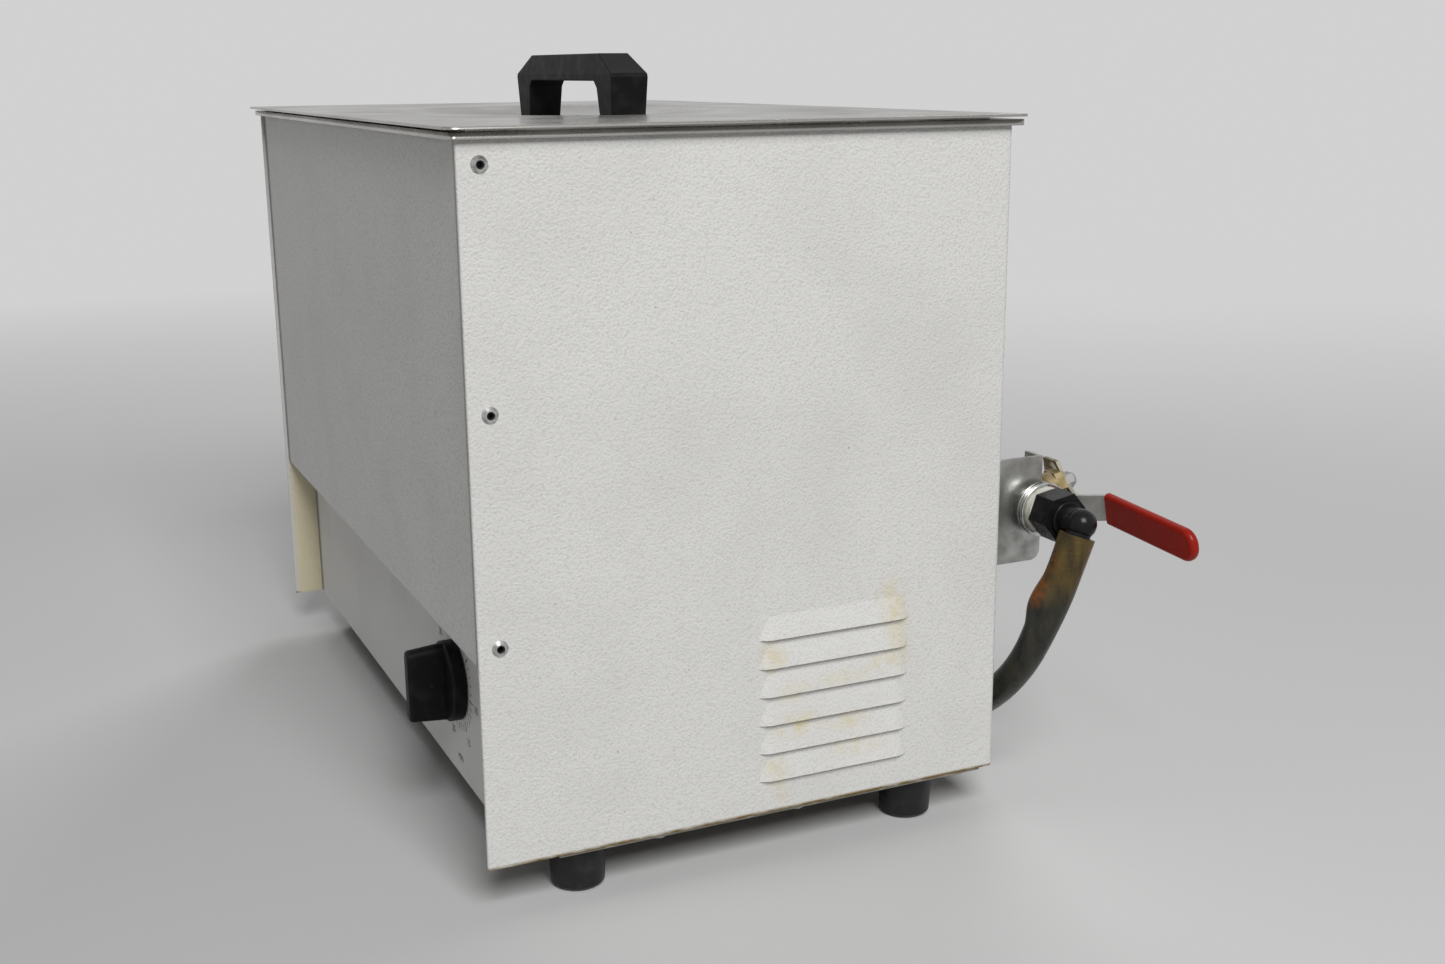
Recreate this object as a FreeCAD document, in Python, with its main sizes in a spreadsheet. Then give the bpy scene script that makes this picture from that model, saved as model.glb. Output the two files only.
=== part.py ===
"""Heated bench-top ultrasonic cleaning bath with a lift-off lid and a rear drain valve.

Frame: +Z up from the bench, -Y is the front with the control panel, +X is the right-hand side.
The origin is the point of the bench midway across the case. Lengths are in millimetres.
"""

import FreeCAD
import Part
import Sketcher
import math
import os
import re

Vector = FreeCAD.Vector
Rotation = FreeCAD.Rotation

# Driving dimensions
DIMENSIONS = {
    # Case, measured over the painted sheet
    "case_width": 557,
    "case_depth": 330,
    "stand_height": 30,
    "case_top": 427.5,
    "sheet_metal": 1.5,
    "hem_depth": 22,
    "hem_thickness": 3,
    "rear_bend": 3,
    "flange_width": 14,
    "lower_flange_front": 60,
    # Step-back front
    "front_setback": 2,
    "recess_depth": 22,
    "recess_height": 115,
    "front_gap": 0.2,
    "front_flange": 18,
    # Louvres, the same on both sides
    "louvre_pitch": 17.55,
    "louvre_lowest": 20.5,
    "louvre_start": 1,
    "louvre_length": 100.4,
    "louvre_end": 9,
    "louvre_rise": 14,
    "louvre_reach": 3,
    "louvre_kerf": 0.6,
    # Blind rivets
    "rivet_inset": 12.2,
    "rivet_top": 383,
    "rivet_pitch": 127.6,
    "rivet_head": 4.7,
    "rivet_shank": 2.4,
    "rivet_hole": 1.6,
    "rivet_cup": 2.3,
    # Bottom pan and feet
    "pan_thickness": 2,
    "pan_front": 42,
    "pan_rear": 9,
    "pan_side": 1.5,
    "foot_radius": 17.2,
    "foot_base_radius": 15.5,
    "foot_bevel": 2.5,
    "foot_web": 14,
    "foot_spread": 255,
    "foot_front": 60,
    "foot_rear": 280,
    # Tank
    "tank_length": 502,
    "tank_width": 280,
    "tank_depth": 203,
    "tank_sheet": 1.2,
    "tank_corner": 30,
    "tank_heel": 12,
    "rim_overhang": 3.5,
    "rim_back": 6,
    "rim_corner": 3,
    "rim_thickness": 1.5,
    "rim_lip": 2,
    # Lid and its handle
    "lid_over_x": 8.2,
    "lid_over_y": 7,
    "lid_thickness": 1.5,
    "lid_rest": 1.5,
    "lid_corner": 7,
    "dish_half_length": 150,
    "dish_half_width": 112,
    "dish_depth": 8.5,
    "dish_swell": 200,
    "handle_x": 4,
    "handle_foot": 91.3,
    "handle_shoulder": 95,
    "handle_bevel": 1.6,
    "handle_top": 66.8,
    "handle_foot_width": 22.8,
    "handle_shoulder_width": 25,
    "handle_top_width": 20.6,
    "handle_shoulder_rise": 23.5,
    "handle_rise": 36.5,
    "handle_gap_foot": 71.6,
    "handle_gap_bend": 67,
    "handle_gap_top": 62,
    "handle_gap_rise": 19.3,
    "handle_screw": 82,
    # Timer and its knob
    "knob_x": 150,
    "knob_z": 95,
    "knob_radius": 25,
    "knob_skirt": 8.4,
    "knob_bar_depth": 22,
    "knob_bar_length": 45.2,
    "knob_bar_root": 49.6,
    "knob_bar_width": 10.5,
    "knob_bar_round": 4.4,
    "shaft_radius": 3,
    "bush_radius": 4.95,
    "timer_half": 26,
    "timer_depth": 40,
    # Transducer stacks under the tank
    "stack_x": 160,
    "stack_y": 62,
    "stack_radius": 22,
    # Drain line and valve
    "drain_x": 150,
    "drain_y": 110,
    "pipe_radius": 10.5,
    "pipe_bore": 7.5,
    "valve_x": 228,
    "valve_y": 210.5,
    "valve_z": 187,
    "valve_tilt": 10.5,
    "ball_radius": 11.5,
    "ball_bore": 7,
    "lever_seat": 36,
    "lever_sheet": 2.5,
    "lever_jog": 12.5,
    "lever_width": 17.5,
    "lever_drop": 15.2,
    "lever_slope": 0.065,
    "grip_start": 31,
    "grip_tip": 114,
    "grip_wall": 2,
    "grip_round": 10,
    "bracket_x": 250,
    "bracket_sheet": 2.5,
    "bracket_reach": 50,
    "bracket_low": 151.5,
    "bracket_high": 219.5,
    "bracket_screw_inset": 28,
    "bracket_screw_spread": 22,
    # Hose and its elbow
    "elbow_x": 298,
    "elbow_swing": 20,
    "elbow_leg": 11,
    "elbow_radius": 8,
    "elbow_collar": 10.4,
    "elbow_hex_length": 17.5,
    "washer_thickness": 4.5,
    "hose_radius": 9.5,
    "hose_bore": 6.4,
    # Power inlet on the back
    "inlet_x": -180,
    "inlet_z": 92,
    "inlet_half_width": 13.8,
    "inlet_half_height": 10.3,
    "inlet_screw_spread": 20,
    "inlet_screw_hole": 1.7,
}
LOUVRES = 6

doc = FreeCAD.newDocument("ultrasonic_bath")
dims = doc.addObject("Spreadsheet::Sheet", "dims")
for row, (alias, amount) in enumerate(DIMENSIONS.items(), start=1):
    dims.set(f"A{row}", alias)
    dims.set(f"B{row}", str(amount))
    dims.setAlias(f"B{row}", alias)
doc.recompute()

ALIAS = re.compile(r"\b(" + "|".join(sorted(DIMENSIONS, key=len, reverse=True)) + r")\b")
AXIS_TURN = {
    "x": Rotation(Vector(0, 1, 0), 90),
    "y": Rotation(Vector(1, 0, 0), -90),
    "z": Rotation(),
}
nodes = {}


# Helpers
def linked(expression):
    """The expression with every driving dimension read from the sheet."""
    return ALIAS.sub(r"dims.\1", str(expression))


def bind(obj, prop, expression):
    obj.setExpression(prop, linked(expression))


def amount_of(expression):
    return float(dims.evalExpression(linked(expression)))


def node(label, obj):
    """Marks a finished sub-part: its label names its file."""
    obj.Label = label
    nodes[label] = obj
    return obj


def block(name, x, y, z):
    """A box between a low and a high bound along each axis."""
    box = doc.addObject("Part::Box", name)
    for prop, axis, (low, high) in zip(("Length", "Width", "Height"), "xyz", (x, y, z)):
        bind(box, prop, f"({high}) - ({low})")
        bind(box, f"Placement.Base.{axis}", low)
    return box


def stand(obj, axis, span, centre):
    """Turns a primitive to run along an axis over a span, centred on the other two coordinates."""
    obj.Placement = FreeCAD.Placement(Vector(), AXIS_TURN[axis])
    low, high = span
    bind(obj, "Height", f"({high}) - ({low})")
    bind(obj, f"Placement.Base.{axis}", low)
    for other, place in zip("xyz".replace(axis, ""), centre):
        bind(obj, f"Placement.Base.{other}", place)
    return obj


def rod(name, axis, radius, span, centre):
    obj = doc.addObject("Part::Cylinder", name)
    bind(obj, "Radius", radius)
    return stand(obj, axis, span, centre)


def taper(name, axis, radii, span, centre):
    obj = doc.addObject("Part::Cone", name)
    bind(obj, "Radius1", radii[0])
    bind(obj, "Radius2", radii[1])
    return stand(obj, axis, span, centre)


def hexagon(name, axis, flats, span, centre):
    obj = doc.addObject("Part::Prism", name)
    obj.Polygon = 6
    bind(obj, "Circumradius", f"({flats}) / sqrt(3)")
    return stand(obj, axis, span, centre)


def sphere(name, radius, centre):
    obj = doc.addObject("Part::Sphere", name)
    bind(obj, "Radius", radius)
    for axis, place in zip("xyz", centre):
        bind(obj, f"Placement.Base.{axis}", place)
    return obj


def fuse(name, *parts):
    obj = doc.addObject("Part::MultiFuse", name)
    obj.Shapes = list(parts)
    obj.Refine = True
    return obj


def cut(name, base, *tools):
    obj = doc.addObject("Part::Cut", name)
    obj.Base = base
    obj.Tool = tools[0] if len(tools) == 1 else fuse(f"{name}_tools", *tools)
    obj.Refine = True
    return obj


def group(name, solids):
    """Separate solids of one kind, kept together."""
    obj = doc.addObject("Part::Compound", name)
    obj.Links = list(solids)
    return obj


def mirrored(name, source):
    obj = doc.addObject("Part::Mirroring", name)
    obj.Source = source
    obj.Normal = Vector(1, 0, 0)
    return obj


def edge_finish(kind, name, base, size, pick):
    """Rounds or bevels the edges of a shape that a test picks."""
    doc.recompute()
    radius = amount_of(size)
    obj = doc.addObject(kind, name)
    obj.Base = base
    obj.Edges = [(i, radius, radius) for i, e in enumerate(base.Shape.Edges, start=1) if pick(e)]
    return obj


def rounded(name, base, size, pick):
    return edge_finish("Part::Fillet", name, base, size, pick)


def bevelled(name, base, size, pick):
    return edge_finish("Part::Chamfer", name, base, size, pick)


def runs_along(axis):
    """A test for straight edges parallel to an axis."""
    others = [n for n in range(3) if n != "xyz".index(axis)]

    def pick(edge):
        box = edge.BoundBox
        spans = (box.XLength, box.YLength, box.ZLength)
        return all(spans[n] < 1e-6 for n in others)

    return pick


def at_level(axis, expression):
    """A test for edges that lie wholly at one coordinate."""
    level = amount_of(expression)

    def pick(edge):
        box = edge.BoundBox
        low = getattr(box, f"{axis.upper()}Min")
        high = getattr(box, f"{axis.upper()}Max")
        return abs(low - level) < 1e-4 and abs(high - level) < 1e-4

    return pick


def both(first, second):
    return lambda edge: first(edge) and second(edge)


def padded(name, plane, corners, low, high):
    """A body whose straight-sided outline, in an origin plane, is padded between two offsets.

    Corners are pairs of expressions along the plane's two axes, in X, Y, Z order.
    """
    body = doc.addObject("PartDesign::Body", name)
    sketch = body.newObject("Sketcher::SketchObject", f"{name}_outline")
    base = next(f for f in body.Origin.OriginFeatures if f.Role == plane)
    sketch.AttachmentSupport = (base, "")
    sketch.MapMode = "FlatFace"
    points = [Vector(amount_of(u), amount_of(v), 0) for u, v in corners]
    for i, point in enumerate(points):
        sketch.addGeometry(Part.LineSegment(point, points[(i + 1) % len(points)]), False)
    for i in range(len(points)):
        sketch.addConstraint(Sketcher.Constraint("Coincident", i, 2, (i + 1) % len(points), 1))
    for i, (corner, point) in enumerate(zip(corners, points)):
        for kind, expression, place in zip(("DistanceX", "DistanceY"), corner, (point.x, point.y)):
            if abs(place) < 1e-9:
                axis_line = -2 if kind == "DistanceX" else -1
                sketch.addConstraint(Sketcher.Constraint("PointOnObject", i, 1, axis_line))
                continue
            number = sketch.addConstraint(Sketcher.Constraint(kind, -1, 1, i, 1, place))
            bind(sketch, f"Constraints[{number}]", expression)
    pad = body.newObject("PartDesign::Pad", f"{name}_pad")
    pad.Profile = sketch
    start = f"-({high})" if plane == "XZ_Plane" else low
    bind(sketch, "AttachmentOffset.Base.z", start)
    bind(pad, "Length", f"({high}) - ({low})")
    body.Tip = pad
    return body


def swung(obj, x, y, z, axis, angle):
    """Places a shape that was modelled about the origin: turned about an axis, then moved."""
    obj.Placement = FreeCAD.Placement(Vector(), Rotation(axis, amount_of(angle)))
    for letter, place in zip("xyz", (x, y, z)):
        bind(obj, f"Placement.Base.{letter}", place)
    return obj


def tube_path(points, share=0.45):
    """Straight runs joined by tangent arcs, each as large as its shorter run allows."""
    edges = []
    radii = []
    start = points[0]
    for before, point, after in zip(points, points[1:], points[2:]):
        back = before - point
        ahead = after - point
        trim = share * min(back.Length, ahead.Length)
        turn = math.pi - back.getAngle(ahead)
        radii.append(trim / math.tan(turn / 2))
        into = point + back.normalize() * trim
        out_of = point + ahead.normalize() * trim
        inward = (back + ahead).normalize()
        sag = radii[-1] / math.cos(turn / 2) - radii[-1]
        edges.append(Part.LineSegment(start, into).toShape())
        edges.append(Part.Arc(into, point + inward * sag, out_of).toShape())
        start = out_of
    edges.append(Part.LineSegment(start, points[-1]).toShape())
    return Part.Wire(edges), radii


def tube(points, radius):
    """A round bar along a path of runs and arcs."""
    path, radii = tube_path(points)
    ring = Part.Circle(points[0], points[1] - points[0], radius).toShape()
    sweep = Part.BRepOffsetAPI.MakePipeShell(path)
    sweep.add(Part.Wire([ring]))
    sweep.build()
    sweep.makeSolid()
    return sweep.shape(), path.Length, radii


# Places that several pieces share
HALF_W = "case_width / 2"
HALF_D = "case_depth / 2"
FRONT = "-case_depth / 2"
INNER_X = "case_width / 2 - sheet_metal"
HEM_X = "case_width / 2 - hem_thickness"
WALL_Y = f"{FRONT} + front_setback"
PANEL_Y = f"{FRONT} + recess_depth"
STEP_Z = "stand_height + recess_height"
RIM_TOP = "case_top + rim_thickness"
FLOOR_Z = f"{RIM_TOP} - tank_depth"
UNDER_TANK = f"{FLOOR_Z} - tank_sheet"
LID_Z = f"{RIM_TOP} + lid_rest"
LID_TOP = f"{LID_Z} + lid_thickness"
BACK_Y = HALF_D
RIVET_HEIGHTS = [f"stand_height + rivet_top - {n} * rivet_pitch" for n in range(3)]
RIVET_Y = f"{FRONT} + rivet_inset"
SCREW_CLEAR = 2.3


# Case wrap: both sides and the back in one bent sheet, with hemmed front edges and louvres
wrap_block = block("wrap_block", (f"-{HALF_W}", HALF_W), (FRONT, HALF_D), ("stand_height", "case_top"))
wrap_outside = rounded("wrap_outside", wrap_block, "rear_bend", both(runs_along("z"), at_level("y", HALF_D)))
hollow_block = block("hollow_block", (f"-({INNER_X})", INNER_X), (f"{FRONT} - 5", f"{HALF_D} - sheet_metal"),
                     ("stand_height - 5", "case_top + 5"))
wrap_inside = rounded("wrap_inside", hollow_block, "rear_bend - sheet_metal",
                      both(runs_along("z"), at_level("y", f"{HALF_D} - sheet_metal")))
wrap_shell = cut("wrap_shell", wrap_outside, wrap_inside)

wrap_extras = []
for side, sign in (("right", 1), ("left", -1)):
    def across(inner, outer):
        return (inner, outer) if sign > 0 else (f"-({outer})", f"-({inner})")

    hem = block(f"hem_{side}", across(HEM_X, INNER_X), (FRONT, f"{FRONT} + hem_depth"),
                ("stand_height", "case_top"))
    lower = block(f"lower_flange_{side}", across(f"{INNER_X} - flange_width", INNER_X),
                  (f"{FRONT} + lower_flange_front", f"{HALF_D} - sheet_metal"),
                  ("stand_height", "stand_height + sheet_metal"))
    upper = block(f"upper_flange_{side}", across(f"{INNER_X} - flange_width", INNER_X),
                  (f"{FRONT} + hem_depth", f"{HALF_D} - sheet_metal"), ("case_top - sheet_metal", "case_top"))
    wrap_extras += [hem, lower, upper]
for level, low in (("lower", "stand_height"), ("upper", "case_top - sheet_metal")):
    wrap_extras.append(block(f"{level}_flange_back", (f"-({INNER_X})", INNER_X),
                             (f"{HALF_D} - sheet_metal - flange_width", f"{HALF_D} - sheet_metal"),
                             (low, f"{low} + sheet_metal")))


LOUVRE_SLOPE = "(louvre_reach / louvre_rise)"
LOUVRE_SWEEP = "((louvre_end ^ 2 + louvre_reach ^ 2) / (2 * louvre_reach))"


def louvre_forms(name, inset, drop, depth):
    """One side's hoods: long wedges whose ends sweep back into the sheet as slices of flat cones.

    The slope is set in from the outside face by an inset, carried a drop below the lip and rooted at a depth.
    """
    lip = f"(louvre_reach + {drop} * {LOUVRE_SLOPE} - {inset})"
    tall = f"(({lip} + {depth}) / {LOUVRE_SLOPE})"
    near = "louvre_start + louvre_end"
    far = "louvre_start + louvre_length - louvre_end"
    base_radius = f"({LOUVRE_SWEEP} + {drop} * {LOUVRE_SLOPE})"
    sweep_x = f"{HALF_W} + louvre_reach - {inset} - {LOUVRE_SWEEP}"
    forms = []
    for n in range(LOUVRES):
        foot = f"stand_height + louvre_lowest + {n} * louvre_pitch - {drop}"
        wedge = doc.addObject("Part::Wedge", f"{name}_wedge_{n}")
        for prop in ("Xmin", "Ymin", "Zmin", "X2min", "X2max", "Z2min"):
            setattr(wedge, prop, 0)
        bind(wedge, "Xmax", f"{lip} + {depth}")
        bind(wedge, "Ymax", tall)
        bind(wedge, "Zmax", f"({far}) - ({near})")
        bind(wedge, "Z2max", f"({far}) - ({near})")
        wedge.Placement = FreeCAD.Placement(Vector(), Rotation(Vector(1, 0, 0), 90))
        bind(wedge, "Placement.Base.x", f"{HALF_W} - {depth}")
        bind(wedge, "Placement.Base.y", far)
        bind(wedge, "Placement.Base.z", foot)
        forms.append(wedge)
        for end, place in (("near", near), ("far", far)):
            forms.append(taper(f"{name}_{end}_{n}", "z",
                               (base_radius, f"{base_radius} - {LOUVRE_SLOPE} * {tall}"),
                               (foot, f"{foot} + {tall}"), (sweep_x, place)))
    return fuse(name, *forms)


louvre_bulk = louvre_forms("louvre_bulk", 0, 0, "sheet_metal / 2")
inner_side = block("inner_side", (f"{HALF_W} - 50", f"{HALF_W} - sheet_metal"), (FRONT, HALF_D),
                   ("stand_height", "case_top"))
hoods_right = cut("hoods_right", louvre_bulk, inner_side)
hoods_left = mirrored("hoods_left", hoods_right)
gaps_right = louvre_forms("gaps_right", "sheet_metal", "louvre_kerf", "2 * sheet_metal")
gaps_left = mirrored("gaps_left", gaps_right)
wrap_full = fuse("wrap_full", wrap_shell, *wrap_extras, hoods_right, hoods_left)

THROUGH_BACK = (f"{HALF_D} - 6", f"{HALF_D} + 6")
PAN_SCREWS = [(sx, y) for sx in (-1, 1) for y in ("-60", "30", "143")]
PAN_SCREW_X = f"{INNER_X} - flange_width / 2"
wrap_holes = []
for n, height in enumerate(RIVET_HEIGHTS):
    wrap_holes.append(rod(f"wrap_rivet_{n}", "x", "rivet_shank", (f"-{HALF_W} - 5", f"{HALF_W} + 5"),
                          (RIVET_Y, height)))
for n, (sx, y) in enumerate(PAN_SCREWS):
    wrap_holes.append(rod(f"wrap_pan_hole_{n}", "z", SCREW_CLEAR, ("stand_height - 1", "stand_height + 5"),
                          (f"{sx} * ({PAN_SCREW_X})", y)))
wrap_holes.append(rod("wrap_drain_hole", "y", "pipe_radius + 2", THROUGH_BACK, ("drain_x", "valve_z")))
wrap_holes.append(block("wrap_inlet_hole",
                        ("inlet_x - inlet_half_width - 0.2", "inlet_x + inlet_half_width + 0.2"),
                        THROUGH_BACK,
                        ("inlet_z - inlet_half_height - 0.2", "inlet_z + inlet_half_height + 0.2")))
for side in (-1, 1):
    wrap_holes.append(rod(f"wrap_inlet_screw_{side + 1}", "y", "inlet_screw_hole", THROUGH_BACK,
                          (f"inlet_x + {side} * inlet_screw_spread", "inlet_z")))
    wrap_holes.append(rod(f"wrap_bracket_hole_{side + 1}", "y", SCREW_CLEAR, THROUGH_BACK,
                          ("bracket_x - bracket_screw_inset", f"valve_z + {side} * bracket_screw_spread")))
wrap_cut = cut("wrap_cut", wrap_full, gaps_right, gaps_left, *wrap_holes)
node("case_wrap", rounded("case_wrap", wrap_cut, 1.2, both(runs_along("z"), at_level("y", FRONT))))


# Front panel: upper wall, step and control panel bent from one sheet, with riveted side flanges
FRONT_X = f"{HEM_X} - front_gap"
ACROSS = (f"-({FRONT_X})", FRONT_X)
front_sheets = [
    block("front_wall", ACROSS, (WALL_Y, f"{WALL_Y} + sheet_metal"), (STEP_Z, "case_top")),
    block("front_step", ACROSS, (WALL_Y, f"{PANEL_Y} + sheet_metal"), (STEP_Z, f"{STEP_Z} + sheet_metal")),
    block("control_face", ACROSS, (PANEL_Y, f"{PANEL_Y} + sheet_metal"),
          ("stand_height + 1", f"{STEP_Z} + sheet_metal")),
    block("front_foot", ACROSS, (PANEL_Y, f"{PANEL_Y} + 32"),
          ("stand_height + 1", "stand_height + 1 + sheet_metal")),
    block("front_head", ACROSS, (WALL_Y, f"{WALL_Y} + 14"), ("case_top - sheet_metal", "case_top")),
]
for side, sign in (("right", 1), ("left", -1)):
    low, high = f"{FRONT_X} - sheet_metal", FRONT_X
    bounds = (low, high) if sign > 0 else (f"-({high})", f"-({low})")
    front_sheets.append(block(f"front_flange_{side}", bounds, (WALL_Y, f"{WALL_Y} + front_flange"),
                              (STEP_Z, "case_top")))
front_bent = fuse("front_bent", *front_sheets)
front_soft = rounded("front_soft", front_bent, 1.2,
                     lambda e: runs_along("x")(e) and at_level("y", WALL_Y)(e) and at_level("z", STEP_Z)(e))
front_holes = [rod(f"front_rivet_{n}", "x", "rivet_shank", (f"-{HALF_W}", HALF_W), (RIVET_Y, height))
               for n, height in enumerate(RIVET_HEIGHTS)]
front_holes.append(rod("front_timer_hole", "y", "bush_radius + 0.05", (f"{PANEL_Y} - 5", f"{PANEL_Y} + 5"),
                       ("knob_x", "knob_z")))
node("front_panel", cut("front_panel", front_soft, *front_holes))


# Blind rivets, three down each front edge, with the hole that the broken mandrel leaves
def rivet(name, sign, height):
    outside = f"{sign} * {HALF_W}"
    tail = f"{sign} * ({FRONT_X} - sheet_metal - 3)"

    def span(inner, outer):
        return (inner, outer) if sign > 0 else (outer, inner)

    head = taper(f"{name}_head", "x", ("rivet_head", "rivet_head * 0.62") if sign > 0
                 else ("rivet_head * 0.62", "rivet_head"),
                 span(outside, f"{outside} + {sign} * 1.7"), (RIVET_Y, height))
    shank = rod(f"{name}_shank", "x", "rivet_shank - 0.02", span(tail, outside), (RIVET_Y, height))
    hollow = rod(f"{name}_hollow", "x", "rivet_hole",
                 span(f"{outside} - {sign} * 4", f"{outside} + {sign} * 1"), (RIVET_Y, height))
    cup = rod(f"{name}_cup", "x", "rivet_cup",
              span(f"{outside} + {sign} * 0.4", f"{outside} + {sign} * 3"), (RIVET_Y, height))
    return cut(name, fuse(f"{name}_body", head, shank), hollow, cup)


rivets = [rivet(f"rivet_{side}_{n}", sign, height)
          for side, sign in (("right", 1), ("left", -1)) for n, height in enumerate(RIVET_HEIGHTS)]
node("panel_rivets", group("panel_rivets", rivets))


# Bottom pan, its screws, and the rubber feet with their screws and nuts
PAN_LOW = "stand_height - pan_thickness"
FEET = {
    "front_left": ("-foot_spread", f"{FRONT} + foot_front"),
    "front_right": ("foot_spread", f"{FRONT} + foot_front"),
    "rear_left": ("-foot_spread", f"{FRONT} + foot_rear"),
    "rear_right": ("foot_spread", f"{FRONT} + foot_rear"),
}
STANDOFFS = [(x, y) for x in ("-140", "20") for y in ("-70", "40")]
pan_plate = block("pan_plate", (f"-({HALF_W} - pan_side)", f"{HALF_W} - pan_side"),
                  (f"{FRONT} + pan_front", f"{HALF_D} - pan_rear"), (PAN_LOW, "stand_height"))
THROUGH_PAN = (f"{PAN_LOW} - 1", "stand_height + 1")
FOOT_SCREW = 2.5
FOOT_SCREW_HOLE = 2.6
BOARD_SCREW_HOLE = 1.6
pan_holes = [rod(f"pan_foot_{name}", "z", FOOT_SCREW_HOLE, THROUGH_PAN, place)
             for name, place in FEET.items()]
pan_holes += [rod(f"pan_screw_hole_{n}", "z", SCREW_CLEAR, THROUGH_PAN, (f"{sx} * ({PAN_SCREW_X})", y))
              for n, (sx, y) in enumerate(PAN_SCREWS)]
pan_holes += [rod(f"pan_standoff_{n}", "z", BOARD_SCREW_HOLE, THROUGH_PAN, place)
              for n, place in enumerate(STANDOFFS)]
node("bottom_pan", cut("bottom_pan", pan_plate, *pan_holes))

pan_screws = []
for n, (sx, y) in enumerate(PAN_SCREWS):
    place = (f"{sx} * ({PAN_SCREW_X})", y)
    head = rod(f"pan_screw_head_{n}", "z", 4, (f"{PAN_LOW} - 2.4", PAN_LOW), place)
    shank = rod(f"pan_screw_shank_{n}", "z", SCREW_CLEAR - 0.05, (PAN_LOW, "stand_height + 8"), place)
    slot = block(f"pan_screw_slot_{n}", (f"{place[0]} - 3", f"{place[0]} + 3"), (f"{y} - 0.5", f"{y} + 0.5"),
                 (f"{PAN_LOW} - 3", f"{PAN_LOW} - 1.2"))
    pan_screws.append(cut(f"pan_screw_{n}", fuse(f"pan_screw_body_{n}", head, shank), slot))
node("pan_screws", group("pan_screws", pan_screws))

foot_screws = []
foot_nuts = []
for name, place in FEET.items():
    blank = taper(f"foot_blank_{name}", "z", ("foot_base_radius", "foot_radius"), (0, PAN_LOW), place)
    drum = bevelled(f"foot_drum_{name}", blank, "foot_bevel", at_level("z", 0))
    foot_hollow = rod(f"foot_hollow_{name}", "z", 7, (-1, "foot_web"), place)
    passage = rod(f"foot_passage_{name}", "z", FOOT_SCREW_HOLE, ("foot_web - 4", f"{PAN_LOW} + 1"), place)
    node(f"foot_{name}", cut(f"foot_{name}", drum, foot_hollow, passage))
    head = rod(f"foot_screw_head_{name}", "z", 5, ("foot_web - 3.5", "foot_web"), place)
    shank = rod(f"foot_screw_shank_{name}", "z", FOOT_SCREW, ("foot_web", "stand_height + 6"), place)
    foot_screws.append(fuse(f"foot_screw_{name}", head, shank))
    nut = hexagon(f"foot_nut_blank_{name}", "z", 8, ("stand_height", "stand_height + 4"), place)
    thread = rod(f"foot_nut_thread_{name}", "z", FOOT_SCREW + 0.05,
                 ("stand_height - 1", "stand_height + 5"), place)
    foot_nuts.append(cut(f"foot_nut_{name}", nut, thread))
node("foot_screws", group("foot_screws", foot_screws))
node("foot_nuts", group("foot_nuts", foot_nuts))


# Tank: a drawn tub with a flat rim that overhangs the case and turns down
def tub(name, grow, low, high):
    """A tub-shaped block, larger than the inside of the tank by a wall on every side."""
    blank = block(f"{name}_blank", (f"-tank_length / 2 - {grow}", f"tank_length / 2 + {grow}"),
                  (f"-tank_width / 2 - {grow}", f"tank_width / 2 + {grow}"), (low, high))
    upright = rounded(f"{name}_upright", blank, f"tank_corner + {grow}", runs_along("z"))
    return rounded(name, upright, f"tank_heel + {grow}", at_level("z", low))


RIM_X = f"{HALF_W} + rim_overhang"
RIM_FRONT = f"{HALF_D} + rim_overhang"
RIM_REAR = f"{HALF_D} + rim_back"


def rim_block(name, inset, low, high):
    blank = block(f"{name}_blank", (f"-({RIM_X} - {inset})", f"{RIM_X} - {inset}"),
                  (f"-({RIM_FRONT} - {inset})", f"{RIM_REAR} - {inset}"), (low, high))
    return rounded(name, blank, f"rim_corner - {inset}", runs_along("z"))


tub_outside = tub("tub_outside", "tank_sheet", UNDER_TANK, "case_top + 1")
tub_inside = tub("tub_inside", 0, FLOOR_Z, f"{RIM_TOP} + 5")
rim_plate = rim_block("rim_plate", 0, "case_top - rim_lip", RIM_TOP)
rim_under = rim_block("rim_under", "rim_thickness", "case_top - rim_lip - 1", "case_top")
rim = cut("rim", rim_plate, rim_under)
drain_hole = rod("drain_hole", "z", "pipe_radius", (f"{UNDER_TANK} - 1", f"{FLOOR_Z} + 1"),
                 ("drain_x", "drain_y"))
node("tank", cut("tank", fuse("tank_body", tub_outside, rim), tub_inside, drain_hole))


# Lid: a sheet dished so that condensed water drips back into the tank, on a shallow pressed bead
LID_X = f"{HALF_W} + lid_over_x"
LID_Y = f"{HALF_D} + lid_over_y"
BEAD_WIDTH = 10
BEAD_CLEAR = 6
HANDLE_SCREWS = ("handle_x - handle_screw", "handle_x + handle_screw")
FOOT_Z = f"{LID_TOP} - dish_depth"
DISH_SPREAD = "sqrt(1 - ((dish_swell - dish_depth) / dish_swell) ^ 2)"


def dish(name, top):
    """An ellipsoid whose lower cap is the hollow of the dish, below a level."""
    obj = doc.addObject("Part::Ellipsoid", name)
    bind(obj, "Radius1", "dish_swell")
    bind(obj, "Radius2", f"dish_half_length / {DISH_SPREAD}")
    bind(obj, "Radius3", f"dish_half_width / {DISH_SPREAD}")
    bind(obj, "Placement.Base.z", f"{top} + dish_swell - dish_depth")
    return obj


def dish_level(top, x):
    """The height of the dish's surface on its long axis."""
    across = f"(({x}) * {DISH_SPREAD} / dish_half_length)"
    return f"{top} - dish_depth + dish_swell * (1 - sqrt(1 - {across} ^ 2))"


def around_tank(name, margin, low, high):
    """A block larger than the tank's mouth by a margin on every side."""
    return block(name, (f"-tank_length / 2 - {margin}", f"tank_length / 2 + {margin}"),
                 (f"-tank_width / 2 - {margin}", f"tank_width / 2 + {margin}"), (low, high))


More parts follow.
